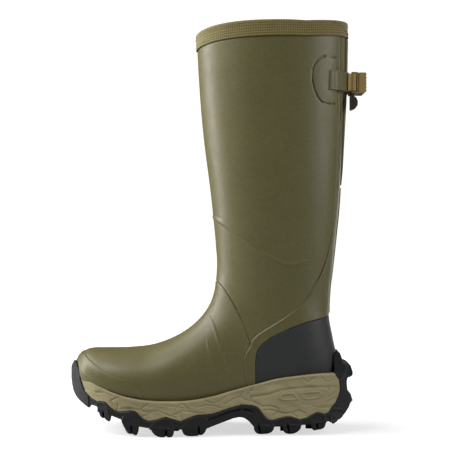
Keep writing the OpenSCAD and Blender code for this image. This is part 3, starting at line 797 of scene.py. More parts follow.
def vamp_side(p):
    return inside_of(VAMP_ZONE, p[:, 0], p[:, 2])


def counter_side(p):
    return inside_of(COUNTER_ZONE, p[:, 0], p[:, 2])


def back_side(p):
    return inside_of(BACK_ZONE, p[:, 0], p[:, 2])


def wide_seam(p):
    """The seam beside the calf stands a little open."""
    return SEAM_GAP + 0.25 * ease((p[:, 2] - 235) / 40)


def vamp_field(p):
    return vamp_side(p) - SEAM_GAP


def counter_field(p):
    return counter_side(p) - SEAM_GAP


def back_field(p):
    return np.minimum(back_side(p), -counter_side(p)) - wide_seam(p)


def shaft_field(p):
    return np.minimum(-vamp_side(p), -back_side(p)) - wide_seam(p)


def under_tape(p):
    """The rubber gives a little under the tape's edge."""
    return -0.5 * bell(from_line(TAPE_EDGE, p[:, 0], p[:, 2]) - 0.3, 0.8)


def shaft_relief(p):
    x, z = p[:, 0], p[:, 2]
    around = np.maximum(0, 1 - np.abs(p[:, 1]) / 12)
    groove = -1.6 * bell(inside_of(PATCH_EDGE, x, z) + 0.75, 0.6) * (1 - around)
    seam = -0.6 * bell(from_line(BACK_SEAM[:8], x, z) - 2.0, 0.45) * ease((z - 240) / 30)
    return groove + seam + under_tape(p)


def back_relief(p):
    x, z = p[:, 0], p[:, 2]
    edge = from_line(QUARTER_EDGE, x, z)
    raised = 0.55 * ease((240 - z) / 60) * (0.5 + 0.5 * bell(edge - 1.6, 1.6))
    return raised + under_tape(p)


def vamp_relief(p):
    x, z = p[:, 0], p[:, 2]
    ahead = inside_of(VAMP_ZONE, x, z)
    return 0.25 * bell(ahead - 2.2, 1.6)


def flat_relief(p):
    return np.zeros(len(p))


def rubber_panels():
    olive = MATS["olive"]
    inner = -RUBBER + 0.05
    skin_piece("shaft_rubber", ROWS, TURNS, shaft_field, shaft_relief, inner, olive, "olive_rubber",
               ["shaft_panel"], wrap=True)
    skin_piece("vamp_rubber", ROWS, TURNS, vamp_field, vamp_relief, inner, olive, "olive_rubber",
               ["vamp"],
               wrap=True, cap=1)
    skin_piece("back_quarter_rubber", ROWS, TURNS, back_field, back_relief, inner, olive,
               "olive_rubber",
               ["back_quarter"], wrap=True)
    skin_piece("heel_counter_rubber", ROWS, TURNS, counter_field, flat_relief, inner, MATS["charcoal"],
               "charcoal_rubber", ["heel_counter"], wrap=True)


rubber_panels()

# ---------------------------------------------------------------- pieces laid on the rubber
LOOK_T = np.linspace(0, LAST, 420)
LOOK_A = np.linspace(math.pi * 1.01, math.pi * 1.995, 260)
LOOK = skin0(LOOK_T[:, None], LOOK_A[None, :])


def locate(points):
    """Where points seen from the outer side lie on the form, as t and a."""
    t, a = [], []
    for x, z in points:
        far = (LOOK[..., 0] - x) ** 2 + (LOOK[..., 2] - z) ** 2
        i, j = np.unravel_index(np.argmin(far), far.shape)
        t.append(LOOK_T[i])
        a.append(LOOK_A[j])
    t, a = np.array(t), np.array(a)
    goal = np.array(points, float)
    for _ in range(6):
        here = skin0(t, a)[:, [0, 2]]
        dt = (skin0(t + 0.01, a)[:, [0, 2]] - here) / 0.01
        da = (skin0(t, a + 0.005)[:, [0, 2]] - here) / 0.005
        det = dt[:, 0] * da[:, 1] - dt[:, 1] * da[:, 0]
        det = np.where(np.abs(det) < 1e-6, 1e-6, det)
        gap = goal - here
        t = np.clip(t + np.clip((gap[:, 0] * da[:, 1] - gap[:, 1] * da[:, 0]) / det, -0.2, 0.2), 0,
                    LAST - 0.02)
        a = np.clip(a + np.clip((dt[:, 0] * gap[:, 1] - dt[:, 1] * gap[:, 0]) / det, -0.1, 0.1),
                    math.pi * 1.001, math.pi * 1.999)
    return t, a


def along_skin(t, a, d=0.0):
    """Points, outward and sideways directions along a path on the form."""
    p, n = skin(t, a, d)
    run = np.gradient(p, axis=0)
    run /= np.linalg.norm(run, axis=1, keepdims=True)
    side = np.cross(n, run)
    return p, n, side / np.linalg.norm(side, axis=1, keepdims=True)


def ridge(t, a, width, height, fade=8):
    """A soft ridge along a path on the form, fading at its ends."""
    p, n, side = along_skin(t, a)
    m, steps = len(p), np.linspace(-1, 1, 11)
    tops = np.exp(-(steps * 1.55) ** 2) * height - 0.12
    k = np.minimum(np.arange(m), np.arange(m)[::-1]) / fade
    grow = np.sqrt(np.clip(k, 0.02, 1))
    prof = [(s * width / 2, h) for s, h in zip(steps, tops)] + [(width / 2, -0.4), (-width / 2, -0.4)]
    pts = np.stack([p + side * x * (0.5 + 0.5 * grow[:, None]) + n *
                    ((h + 0.12) * grow[:, None] - 0.12 if h > -0.3 else h)
                    for x, h in prof], 1).reshape(-1, 3)
    k = len(prof)
    faces = [(i * k + q, i * k + (q + 1) % k, (i + 1) * k + (q + 1) % k, (i + 1) * k + q)
             for i in range(m - 1) for q in range(k)]
    faces += [tuple(reversed(range(k))), tuple((m - 1) * k + q for q in range(k))]
    return pts, outward(pts, faces)


def both_sides(line, width, height, per=10, fade=8):
    """The same ridge on the outer and the inner side."""
    t, a = locate(smooth_line(line, per))
    return [ridge(t, a, width, height, fade), ridge(t, 2 * math.pi - a, width, height, fade)]


def ribs():
    creases = [[(-11, 129), (-6, 120.6), (-1.2, 108.6), (2.7, 96.2), (6, 82), (8.7, 73), (9.4, 62)],
               [(-12, 104.2), (-9, 92), (-6.8, 80.7), (-3.6, 63)]]
    solids = [r for line in creases for r in both_sides(line, 6.5, 0.62)]
    make("instep_creases", *joined(solids), MATS["olive"], "olive_rubber", stands_for=["instep_ribs"])

    t, a = locate([(9, 227.4), (26.7, 213.5), (43, 201.3), (57.2, 193), (70.2, 186.8), (80.4, 184.9),
                   (91.2, 187.4), (100.3, 190)])
    a = a - 2 * math.pi
    row = np.stack([np.concatenate([t[::-1], [17.45], t]), np.concatenate([a[::-1], [0.0], -a])], 1)
    row = smooth_line(row, 14)
    make("shin_crease", *ridge(row[:, 0], row[:, 1], 7.0, 0.95, 30), MATS["olive"], "olive_rubber",
         stands_for=["shin_rib"])

    edge = [(x + 0.9, z - 0.6) for x, z in BACK_SEAM[9:]] + [(31.2, 86.2), (29.6, 71.2), (31.6, 57)]
    make("quarter_edge_bead", *joined(both_sides(edge, 3.4, 0.95, fade=20)), MATS["olive"],
         "olive_rubber",
         stands_for=["side_rib"])


def toe_field(p):
    zone = TOE_EDGE.tolist() + [(-105, 44.6), (-128, 53), (-148.5, 64), (-151.5, 69.5), (-155, 75.5),
                                (-157.8, 79),
                                (-175, 79)]
    return inside_of(zone, p[:, 0], p[:, 2])


def patch_field(p):
    return inside_of(PATCH_EDGE, p[:, 0], p[:, 2])


def gusset_width(z):
    return np.interp(z, [273, 300, 340, 432], [3, 9, 14, 15])


def gusset_field(p):
    y, z = p[:, 1], p[:, 2]
    return np.minimum(np.minimum(gusset_width(z) - np.abs(y), 434 - z), z - 272)


def gusset_relief(p):
    y = np.abs(p[:, 1])
    return 2.1 - 1.25 * bell(y, 1.1) - 0.7 * bell(y - gusset_width(p[:, 2]) * 0.55, 0.9)


def stay_field(p):
    z = p[:, 2]
    return np.minimum(np.minimum(np.interp(z, [130, 270], [5, 6]) - np.abs(p[:, 1]), 270 - z), z - 130)


def overlays():
    olive = MATS["olive"]
    skin_piece("toe_guard_rubber", rows_between([(0, 7.2, 13)]), TURNS, toe_field, lambda p: 0.9 + 0 *
               p[:, 0],
               0.02, olive, "olive_rubber", ["toe_guard"], wrap=True, edge=(2.2, 0.75),
               levels=(0.4, 1, 2.2))
    for name, node, low, high in (("strap_patch_rubber_outer", "strap_patch_outer", 198, 264),
                                  ("strap_patch_rubber_inner", "strap_patch_inner", 96, 162)):
        skin_piece(name, np.linspace(22.5, 25.3, 70), np.radians(np.linspace(low, high, 90)),
                   patch_field,
                   lambda p: 0.55 + 0.2 * ease(patch_field(p) / 8), 0.02, olive, "olive_rubber", [node],
                   edge=(1.1, 0.5), levels=(0.25, 0.6, 1.1))
    skin_piece("calf_gusset", np.linspace(19.4, 25.6, 110), np.radians(np.linspace(158, 202, 70)),
               gusset_field,
               gusset_relief, 0.02, olive, "olive_rubber", ["gusset"], edge=(1.6, 1.4))
    skin_piece("back_stay_rubber", np.linspace(15.5, 22.3, 110), np.radians(np.linspace(170, 190, 40)),
               stay_field, lambda p: 1.15 + 0 * p[:, 0], 0.02, olive, "olive_rubber", ["back_stay"],
               edge=(1.3, 0.95))


ribs()
overlays()

# ---------------------------------------------------------------- top binding and its stitches
TAPE_TURNS = 2 * np.pi * (np.arange(360) + 0.5) / 360
TAPE_LOW = 0.96


def tape_profile():
    """The tape's section: rows below the rim, depth and rise, outside first."""
    top_mid, top_half = (1.15 - INSIDE - 1.1) / 2, (1.15 + INSIDE + 1.1) / 2
    down = np.linspace(TAPE_LOW, 0, 14)
    arc = np.linspace(0, math.pi, 15)[1:-1]
    outer = [(k, 1.15 + 0.25 * bell(k - TAPE_LOW + 0.05, 0.06), 0.2) for k in down]
    top = [(0, top_mid + top_half * math.cos(g), 0.2 + 1.9 * math.sin(g) ** 0.6) for g in arc]
    inner = [(k, -INSIDE - 1.1, 0.2) for k in down[::-2]]
    under = [(k, -INSIDE - 0.15, 0.1) for k in down[1::2]]
    roof = [(0, top_mid + (top_half - 1.0) * math.cos(g), 0.15 + 0.8 *
             math.sin(g) ** 0.6) for g in arc[::-1]]
    back = [(k, 0.1, 0.1) for k in down[::-2]]
    return outer + top + inner + under + roof + back


def lap_lift(k, a):
    """The tape's end lies over its start, cut on a slant near the back."""
    past = math.radians(221) - math.radians(29) * k - a
    return 1.0 * np.where(past > 0, ease(1 - past / math.radians(24)), 0)


def binding():
    section = tape_profile()
    columns, lengths = [], [0.0]
    for k, depth, rise in section:
        p, _ = skin(LAST - k, TAPE_TURNS, depth + lap_lift(k, TAPE_TURNS) * (depth > 0.5))
        columns.append(p + [0, 0, rise])
    for before, after in zip(columns, columns[1:]):
        lengths.append(lengths[-1] + float(np.mean(np.linalg.norm(after - before, axis=1))))
    rim, _ = skin(LAST, TAPE_TURNS)
    run = np.concatenate([[0], np.cumsum(np.linalg.norm(np.diff(rim, axis=0), axis=1))])
    pts = np.stack(columns, 1).reshape(-1, 3)
    m, k = len(TAPE_TURNS), len(section)
    faces = [(i * k + q, i * k + (q + 1) % k, (i + 1) % m * k + (q + 1) % k, (i + 1) % m * k + q)
             for i in range(m) for q in range(k)]
    uv = np.stack(np.broadcast_arrays(run[:, None], np.array(lengths)[None, :]), -1).reshape(-1, 2)
    make("rim_tape", pts, outward(pts, faces), MATS["tape"], "olive_tape", stands_for=["top_binding"],
         uv=uv,
         crease=60)


def stitch(p, n, side_length, radius=0.3):
    """Stitches at points along a path, each a bent bead of thread."""
    steps = ((-1.0, -0.35, 0.4), (-0.75, 0.05, 0.9), (-0.3, 0.16, 1.0), (0.3, 0.16, 1.0),
             (0.75, 0.05, 0.9),
             (1.0, -0.35, 0.4))
    run = np.roll(p, -1, 0) - np.roll(p, 1, 0)
    run /= np.linalg.norm(run, axis=1, keepdims=True)
    side = np.cross(n, run)
    solids = []
    for i in range(len(p)):
        rings = []
        for along, lift, thick_ in steps:
            centre = p[i] + run[i] * along * side_length / 2 + n[i] * lift
            for g in range(7):
                w = 2 * math.pi * g / 7
                rings.append(centre + (side[i] * math.cos(w) + n[i] * math.sin(w)) * radius * thick_)
        faces = [(r * 7 + g, r * 7 + (g + 1) % 7, (r + 1) * 7 + (g + 1) % 7, (r + 1) * 7 + g)
                 for r in range(len(steps) - 1) for g in range(7)]
        faces += [tuple(reversed(range(7))), tuple((len(steps) - 1) * 7 + g for g in range(7))]
        pts = np.array(rings)
        solids.append((pts, outward(pts, faces)))
    return solids


def even_turns(t, depth, pitch):
    """Angles spaced evenly round the boot at a row."""
    fine = np.linspace(0, 2 * np.pi, 1441)
    p, _ = skin(np.full(fine.shape, t), fine, depth)
    run = np.concatenate([[0], np.cumsum(np.linalg.norm(np.diff(p, axis=0), axis=1))])
    count = int(run[-1] / pitch)
    return np.interp(np.arange(count) * run[-1] / count, run, fine)


def binding_stitches():
    solids = []
    for k in (0.80, 0.20):
        a = even_turns(LAST - k, 1.2, 3.6)
        p, n = skin(np.full(a.shape, LAST - k), a, 1.2 + lap_lift(k, a))
        solids += stitch(p + [0, 0, 0.2], n, 2.5)
    make("rim_stitches", *joined(solids), MATS["thread"], "thread", stands_for=["binding_stitching"])


binding()
binding_stitches()

# ---------------------------------------------------------------- strap, webbing and buckle
def even_path(points, step):
    """Points at even steps along a smooth curve in x and y."""
    p = smooth_line(points, 12)
    run = np.concatenate([[0], np.cumsum(np.linalg.norm(np.diff(p, axis=0), axis=1))])
    s = np.linspace(0, run[-1], max(3, int(run[-1] / step)))
    return np.stack([np.interp(s, run, p[:, k]) for k in (0, 1)], 1), s


def rounded_bar(width, thickness, radius, along=24):
    """Half sections of a flat strip: offsets across it, from one edge to the other, with round edges."""
    corner = [(math.sin(g) * radius, (1 - math.cos(g)) * radius) for g in np.linspace(math.pi / 2, 0,
            5)]
    half_w, half_t = width / 2, thickness / 2
    left = [(-half_w + radius - x, half_t - z) for x, z in corner]
    flat_part = [(x, half_t) for x in np.linspace(-half_w + radius, half_w - radius, along)[1:-1]]
    right = [(half_w - radius + x, half_t - z) for x, z in reversed(corner)]
    top = left + flat_part + right
    return top, [(x, -z) for x, z in reversed(top)]


def strip(points, width, thickness, radius, step, bump=None, ends=0.8):
    """A flat strip standing on edge along a path seen from above, with its texture coordinates."""
    path, s = even_path(points, step)
    run = np.gradient(path, axis=0)
    run /= np.linalg.norm(run, axis=1, keepdims=True)
    out = np.stack([run[:, 1], -run[:, 0]], 1)
    if out[0, 1] * path[0, 1] < 0:
        out = -out
    top, low = rounded_bar(width, thickness, radius)
    section = top + low
    near = np.minimum(s, s[-1] - s)
    slim = np.sqrt(np.clip(1 - (1 - np.clip(near / ends, 0, 1)) ** 2, 0.12, 1))
    pts, uv = [], []
    for i, (x, y) in enumerate(path):
        for q, (w, h) in enumerate(section):
            extra = bump(s[i], w, s[-1]) if bump and q < len(top) else 0.0
            h = h * slim[i] + extra
            pts.append((x + out[i, 0] * h, y + out[i, 1] * h, STRAP_Z + w))
            uv.append((s[i], w))
    k = len(section)
    faces = [(i * k + q, i * k + (q + 1) % k, (i + 1) * k + (q + 1) % k, (i + 1) * k + q)
             for i in range(len(path) - 1) for q in range(k)]
    faces += [tuple(reversed(range(k))), tuple((len(path) - 1) * k + q for q in range(k))]
    pts = np.array(pts)
    return pts, outward(pts, faces), np.array(uv)


def flat_path(angles, depth):
    p, _ = skin(np.full(len(angles), STRAP_ROW), np.radians(angles), depth)
    return [(x, y) for x, y, _ in p]


TAB_PATH = flat_path([225, 222], 1.0) + flat_path(np.arange(217.6, 199.9, -4.4),
                                                  2.55) + [(144.9, -17.6)]
WEB_PATH = [(143.1, -21.85), (145.9, -19.75)]
WEB_PATH += [(BAR_X + 2.85 * math.cos(math.radians(g)), -BAR_Y + 2.85 * math.sin(math.radians(g)))
             for g in range(-120, 151, 30)]


def mirrored(path):
    return [(x, -y) for x, y in path]


def tab_relief(s, w, length):
    """A raised bead where the tab starts, and a shallow channel inside its edges."""
    edge = TAB_W / 2 - abs(w)
    bead = 0.45 * bell(s - 3.4, 1.5)
    channel = -0.3 * bell(edge - 2.2, 0.5) * ease((s - 4) / 2) * ease((length - s) / 2)
    return bead + channel


def web_relief(s, w, length):
    return 0.07 * math.cos(2 * math.pi * s / 1.5) * ease((WEB_W / 2 - abs(w)) / 1.2)


def strap():
    for side, path, web in (("outer", TAB_PATH, WEB_PATH),
                            ("inner", mirrored(TAB_PATH), mirrored(WEB_PATH))):
        pts, faces, uv = strip(path, TAB_W, 2.1, 0.85, 0.5, tab_relief, ends=2.5)
        make("strap_tab_rubber_" + side, pts, faces, MATS["olive"], "olive_rubber",
             stands_for=["strap_tab_" + side], uv=uv)
        pts, faces, uv = strip(web, WEB_W, WEB_T, 0.6, 0.35, web_relief, ends=0.5)
        piece = make("webbing_strap_" + side, pts, faces, MATS["webbing"], "tan_webbing",
                     stands_for=["webbing_" + side], uv=uv, ride=side == "outer")
        if side == "inner":
            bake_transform(piece)


def buckle():
    grip = [block((163.5, 166), (-30, 30), (STRAP_Z + k - 0.55, STRAP_Z + k + 0.55))
            for k in (-7.2, -3.6, 0, 3.6, 7.2)]
    seam = [block((154.9, 155.8), (-30, -17.9), (STRAP_Z - 12, STRAP_Z + 12)),
            block((155.0, 155.7), (18.7, 30), (STRAP_Z - 12, STRAP_Z + 12))]
    for node, body in (("buckle_female", "boot"), ("buckle_male", "buckle_male")):
        obj = softened(node + "_shell", copy_of(node), 0.3, 3, [("DIFFERENCE", grip + seam)])
        finish_piece(obj, MATS["buckle"], body, [node], crease=70)
    # The keeper's near-black is partly painted shade under the buckle.
    obj = softened("tail_keeper_loop", copy_of("tail_keeper"), 0.3, 3)
    finish_piece(obj, MATS["dark_keeper_and_shade"], "boot", ["tail_keeper"], crease=70)
    # The tail end takes the dark webbing, its darkness painted shade.
    obj = softened("strap_tail_end", copy_of("strap_tail"), 0.3, 3)
    finish_piece(obj, MATS["tail"], "strap_tail", ["strap_tail"], crease=70)


strap()
buckle()

# ---------------------------------------------------------------- sole
def sole_edge(x):
    """Middle and half width of the sole at x."""
    fine = through(EDGE, np.linspace(0, len(EDGE) - 1, 300))
    return np.interp(x, fine[:, 0], fine[:, 1]), np.interp(x, fine[:, 0], fine[:, 2])


def facets(u, v, cell_u, cell_v, seed):
    """Heights from -1 to 1 over a net of flat triangles."""
    heights = np.random.default_rng(seed).random((80, 40)) * 2 - 1
    v = v / cell_v + 20
    j = np.floor(v).astype(int)
    u = u / cell_u + 30 + 0.5 * (v - j) + 0.5 * (j % 2)
    i = np.floor(u).astype(int)
    fu, fv = u - i, v - j
    i, j = i % 79, j % 39
    lower = heights[i, j] + fu * (heights[i + 1, j] - heights[i, j]) + fv * (heights[i, j + 1] -
            heights[i, j])
    upper = (heights[i + 1, j + 1] + (1 - fu) * (heights[i, j + 1] - heights[i + 1, j + 1])
             + (1 - fv) * (heights[i + 1, j] - heights[i + 1, j + 1]))
    return np.where(fu + fv < 1, lower, upper)


WAVE = smooth_line(WAVE_LINE, 3)
CUP = smooth_line(CUP_LINE, 6)
HEEL_LENS = [(36.5, 43.4), (56, 46.8), (76, 51.3), (97, 53.3), (116, 48.5), (111, 39.5), (96, 36.2),
             (73, 36.6),
             (54, 39.6), (36.5, 43.4)]
LENS_BARS = [[(67, 41.8), (71, 45), (82, 45.6), (87, 39.4), (70.5, 38.2)],
             [(90, 46), (110, 47.4), (112.5, 44.5), (108.5, 40.6), (97, 39.4), (92.5, 41.5)]]


# Creases moulded into the midsole's wall: x, z.
CREASES = [
    [(-141, 49.5), (-133, 43.5), (-128, 41)], [(-131, 46.5), (-122, 46.8), (-113, 43.5)],
    [(-106, 42.8), (-110, 41.5), (-115.5, 38), (-109, 31.5), (-107.6, 28.5)],
    [(-107.5, 35.5), (-107, 28.5)],
    [(-104, 30), (-92, 30.2), (-83, 29.2), (-77.5, 27.5), (-70, 28), (-64, 28.8), (-58, 25.8),
     (-50, 22.8), (-45, 21)],
    [(-82, 30.5), (-77.5, 34), (-73.5, 37)], [(-84, 29.5), (-75.5, 26), (-74, 19.5)],
    [(-81, 22), (-74, 25.3), (-69, 28)],
    [(-50, 22.8), (-44, 25.3), (-39.5, 28.2), (-36, 28.4), (-28, 27.2), (-21, 25.6), (-14, 25.2)],
    [(-39.3, 27.5), (-38.6, 21.5), (-38, 17.5)], [(-46, 29.5), (-42.5, 33.5), (-39.8, 37.2)],
    [(-40.5, 37.6), (-34, 33.2), (-30.5, 30)], [(-24, 31), (-13, 34), (-5, 33.5), (3, 30.5)],
    [(-14, 39.5), (-6, 35.5), (2, 38), (9, 43)],
    [(8, 35), (17, 40), (24, 42.5), (31, 38.6), (38, 37.3)],
    [(24, 42.5), (27, 48)], [(33, 45.5), (37, 51), (39.5, 54)],
    [(40, 36.5), (48, 31.5), (57, 32.5), (66, 29)],
    [(50, 27.5), (58, 27.8), (66, 25.6), (72, 23.6), (80, 24.3), (88, 27.4), (95, 24)],
    [(60, 22), (66, 25.6)], [(80, 24.3), (86, 20.5)], [(103, 31.8), (112, 29.8), (121, 29.3)],
    [(92, 62), (98.5, 57.3), (104, 62.5)], [(112, 64), (117, 58.5), (121.5, 57.5), (127, 60)],
    [(119, 36), (124.5, 38.2), (129, 40)], [(120.5, 41.5), (128.5, 46)], [(121, 53), (129.5, 51)],
]
OVERHANG = [(35, 43.2), (45, 43.9), (55, 45.9), (62, 48.6), (70, 50.6), (85, 52.2), (100, 53.2),
            (112, 53.6), (122, 52.4)]


def midsole_shape(p, n):
    x, z = p[:, 0], p[:, 2]
    mid, half = sole_edge(x)
    side = np.where(p[:, 1] < mid, -1.0, 1.0)
    depth = half - 0.5 - np.abs(p[:, 1] - mid)
    wall = ease((2.2 - depth) / 1.6) * ease((0.9 - np.abs(n[:, 2])) / 0.5) * ease((x + 152) /
            4) * ease((137 - x) / 4)
    below_cup = np.interp(x, CUP[:, 0], CUP[:, 1]) - z
    lines = np.full(len(x), 99.0)
    near = (wall > 0) & (below_cup > 0.5)
    for crease in CREASES:
        lines[near] = np.minimum(lines[near], from_line(crease, x[near], z[near]))
    lens = ease(inside_of(smooth_line(HEEL_LENS, 4), x, z) / 2.0)
    bars = sum(0.8 * bell(inside_of(b, x, z), 0.8) for b in LENS_BARS)
    fold = inside_of(OVERHANG + [(122, 30), (35, 30)], x, z) - 1.2
    relief = 0.55 * facets(x, z, 12, 8, 5) * ease((below_cup - 1.5) / 3) * (1 -
            lens) - 0.75 * bell(lines, 0.75)
    relief = relief + 0.4 * bell(below_cup - 1.8, 1.6) + bars * lens
    relief = relief - 0.95 * bell(fold, 1.3) * ease((from_line(OVERHANG, x, z) < 4) * 1.0)
    out = p.copy()
    out[:, 1] += wall * (mid + side * (half - 0.4 + 0.9 * ease((-122 - x) / 12) + relief) - p[:, 1])
    straight = np.interp(x, CUP_LINE[:, 0], CUP_LINE[:, 1])
    rim = ease((4 - below_cup) / 4) * ease((14 - depth) / 4)
    rim = rim * ease((x + 130) / 4)
    out[:, 2] += rim * (np.interp(x, CUP[:, 0], CUP[:, 1]) - straight)
    return out


# Side lugs seen from the side: outlines, the slot between their feet, and the outer foot's height.
LUGS = [
    ([(-131.5, 33), (-130.3, 30.5), (-129, 27), (-128, 23.8), (-127.5, 21.8), (-126, 20.3),
      (-124.5, 19), (-122, 19),
      (-120.5, 17.7), (-118.5, 16.5), (-117, 15.9), (-116.3, 17.5), (-116, 20), (-116.3, 23),
      (-118, 27), (-119, 31),
      (-120, 34.5), (-122, 36), (-125, 36.5), (-129, 36.8)], [(-123.6, 26), (-122.6, 17)], 16),
    ([(-103.3, 17.5), (-102, 13.8), (-100, 10.3), (-98, 8), (-95.5, 6.6), (-92, 6.2), (-89.5, 5),
      (-87.8, 4.8),
      (-86.3, 6), (-85.6, 8.3), (-85.2, 11), (-84.6, 14.5), (-85, 18), (-86.5, 21.5), (-89, 24.5),
      (-92, 26),
      (-96, 26.3), (-99, 25), (-101.5, 22)], [(-92.4, 13), (-92.1, 4)], 5),
    ([(-71.6, 10), (-70.6, 7), (-69, 4.6), (-66.5, 2.4), (-63.5, 0.8), (-60, 0.2), (-55, 0.1),
      (-50, 0.2),
      (-48.3, 1.2), (-47.2, 3.3), (-47.3, 6.3), (-47.8, 9.5), (-48.5, 12.5), (-49.5, 16), (-52, 18.6),
      (-56, 20),
      (-60, 19.8), (-64, 18), (-68, 15.3), (-71, 13)], [(-55.2, 8.5), (-55.2, -3)], 0.1),
    ([(-38.2, 9), (-37.6, 6), (-36.3, 3.6), (-34, 1.9), (-31, 1.1), (-27, 0.9), (-22, 1.1), (-18, 1.7),
      (-15.5, 2.8),
      (-13.5, 5), (-12.2, 7.7), (-11.8, 10.5), (-10.8, 13.3), (-9.8, 16.3), (-11.5, 19.2), (-14.5, 21),
      (-19, 21.9),
      (-24, 21.8), (-28, 20.3), (-31.5, 17.5), (-35, 14.4), (-37.5, 11.5)],
      [(-20.2, 11.5), (-19.6, -2)], 0.9),
    ([(40, 13), (39.5, 9), (40.2, 6), (42.5, 4), (46, 3.4), (50, 3.4), (54, 3.6), (57.5, 4.2),
      (60, 5.6),
      (61, 8), (60.8, 11.5), (59.2, 14), (57, 17), (53, 18.7), (49.7, 22.5), (46.7, 27), (44.2, 30.5),
      (42, 29.5),
      (40.8, 24), (40.2, 18)], [(44.2, 12), (46.8, 0)], 3.4),
    ([(70.5, 12), (70.8, 8.5), (71.8, 5.5), (74, 3.8), (78, 3.3), (82, 3.5), (86, 4.5), (89, 6.3),
      (90.3, 9),
      (90.2, 12.3), (88, 16.5), (84.5, 18.7), (80, 20.4), (76, 20.9), (72.5, 20.4), (70.4, 17.5)],
     [(75.6, 12.5), (78.8, 0)], 3.3),
    ([(101.3, 14), (101.8, 9.5), (102.8, 6.7), (104.5, 5.4), (107.5, 5.4), (111, 6.1), (114.5, 7.3),
      (116.5, 9.2),
      (117.5, 12.5), (118.3, 15.5), (116.5, 19.3), (114, 22.5), (111, 24), (107.5, 24.3), (104.5, 23),
      (102, 20.5), (101, 17.5)], [(107.4, 13.5), (109, 2)], 5.4),
    ([(122, 21), (123.4, 16), (124.2, 13.2), (125.4, 11.4), (127, 12), (130.5, 14), (134, 16.2),
      (138, 20),
      (138, 26), (128, 28), (123.5, 26)], [(131.6, 15.5), (133.4, 10)], 11.4),
]
BASE_LINE = np.array([
    [-137.4, 32.4], [-130, 31], [-115.2, 22.5], [-103.5, 18.6], [-84.8, 11.5], [-71.5, 9.5],
    [-46.4, 8.5], [-12, 8.5],
    [4.3, 14.5], [16.8, 19], [24.3, 20.3], [29.1, 19.2], [34.1, 15.5], [39.4, 9.5], [65.5, 9.5],
    [95.9, 11.5],
    [120, 14.4], [135, 14.2],
])
LUG_OUT = 1.15


def lug(outline, foot, side):
    """A side lug: its outline carried inwards, with its foot coming down to the ground."""
    p = smooth_line(outline + outline[:1], 3)[:-1]
    area = np.sum(p[:, 0] * np.roll(p[:, 1], -1) - np.roll(p[:, 0], -1) * p[:, 1])
    if area < 0:
        p = p[::-1]
    x, z = p[:, 0], p[:, 1]
    mid, half = sole_edge(x)
    under = np.interp(x, BASE_LINE[:, 0], BASE_LINE[:, 1])
    low = np.clip((under - z) / max(3.0, float(np.max(under - z))), 0, 1)
    out = 0.4 + LUG_OUT * ease((from_line(WAVE, x, z) - 0.5) / 3)
    drop = foot if foot < 5.2 else 1.2
    layers = []
    for depth, fall in ((0.0, 0.0), (1.0, 0.02), (5.0, 0.35), (11.0, 1.0), (17.5, 1.0)):
        y = mid + side * (half + out - depth - 1.6 * low ** 2 * (depth < 2))
        layers.append(np.stack([x, y, z - drop * fall * low], 1))
    n, pts = len(p), np.concatenate(layers)
    faces = [(k * n + i, k * n + (i + 1) % n, (k + 1) * n + (i + 1) % n, (k + 1) * n + i)
             for k in range(len(layers) - 1) for i in range(n)]
    faces += [tuple(reversed(range(n))), tuple(range((len(layers) - 1) * n, len(layers) * n))]
    return pts, outward(pts, faces)


def ring_under(side):
    """The space under the sole's edge where the side lugs stand."""
    x = np.concatenate([np.arange(-136.5, 125, 1.5), [125.3]])
    mid, half = sole_edge(x)
    top = np.interp(x, BASE_LINE[:, 0], BASE_LINE[:, 1]) + 0.1
    near, far = mid + side * (half - 17.6), mid + side * (half + 9)
    corners = [(near, top), (far, top), (far, top * 0 - 6), (near, top * 0 - 6)]
    pts = np.stack([np.stack([x, y, z], 1) for y, z in corners], 1).reshape(-1, 3)
    return pts, outward(pts, tube_faces(len(x)))


def slot(line, side, width=2.1, depth=6.5):
    """A slanting cut in a lug's outer face."""
    (x0, z0), (x1, z1) = line
    mid, half = sole_edge(np.array((x0 + x1) / 2))
    y = sorted((float(mid + side * (half - depth)), float(mid + side * (half + 8))))
    pts, faces = prism([(x0 - width / 2, z0), (x0 + width / 2, z0), (x1 + width / 2, z1),
                        (x1 - width / 2, z1)], *y)
    return pts, outward(pts, faces)


def arch_groove(side):
    """The step that runs along the arch's bar, below its upper edge."""
    line = smooth_line([(-10.5, 17.2), (-6, 19.3), (2, 22.2), (12, 25.8), (21, 28), (29, 28.2),
                        (35, 27), (38.5, 25)], 4)
    x, z = line[:, 0], line[:, 1]
    mid, half = sole_edge(x)
    near, far = mid + side * (half - 1.6), mid + side * (half + 6)
    corners = [(near, z + 0.85), (far, z + 0.85), (far, z - 0.85), (near, z - 0.85)]
    pts = np.stack([np.stack([x, y, h], 1) for y, h in corners], 1).reshape(-1, 3)
    return pts, outward(pts, tube_faces(len(x)))


def tube_faces(rows):
    """The faces of a tube with four corners a row."""
    faces = [(i * 4 + q, i * 4 + (q + 1) % 4, (i + 1) * 4 + (q + 1) % 4, (i + 1) * 4 + q)
             for i in range(rows - 1) for q in range(4)]
    return faces + [(3, 2, 1, 0), tuple((rows - 1) * 4 + q for q in range(4))]


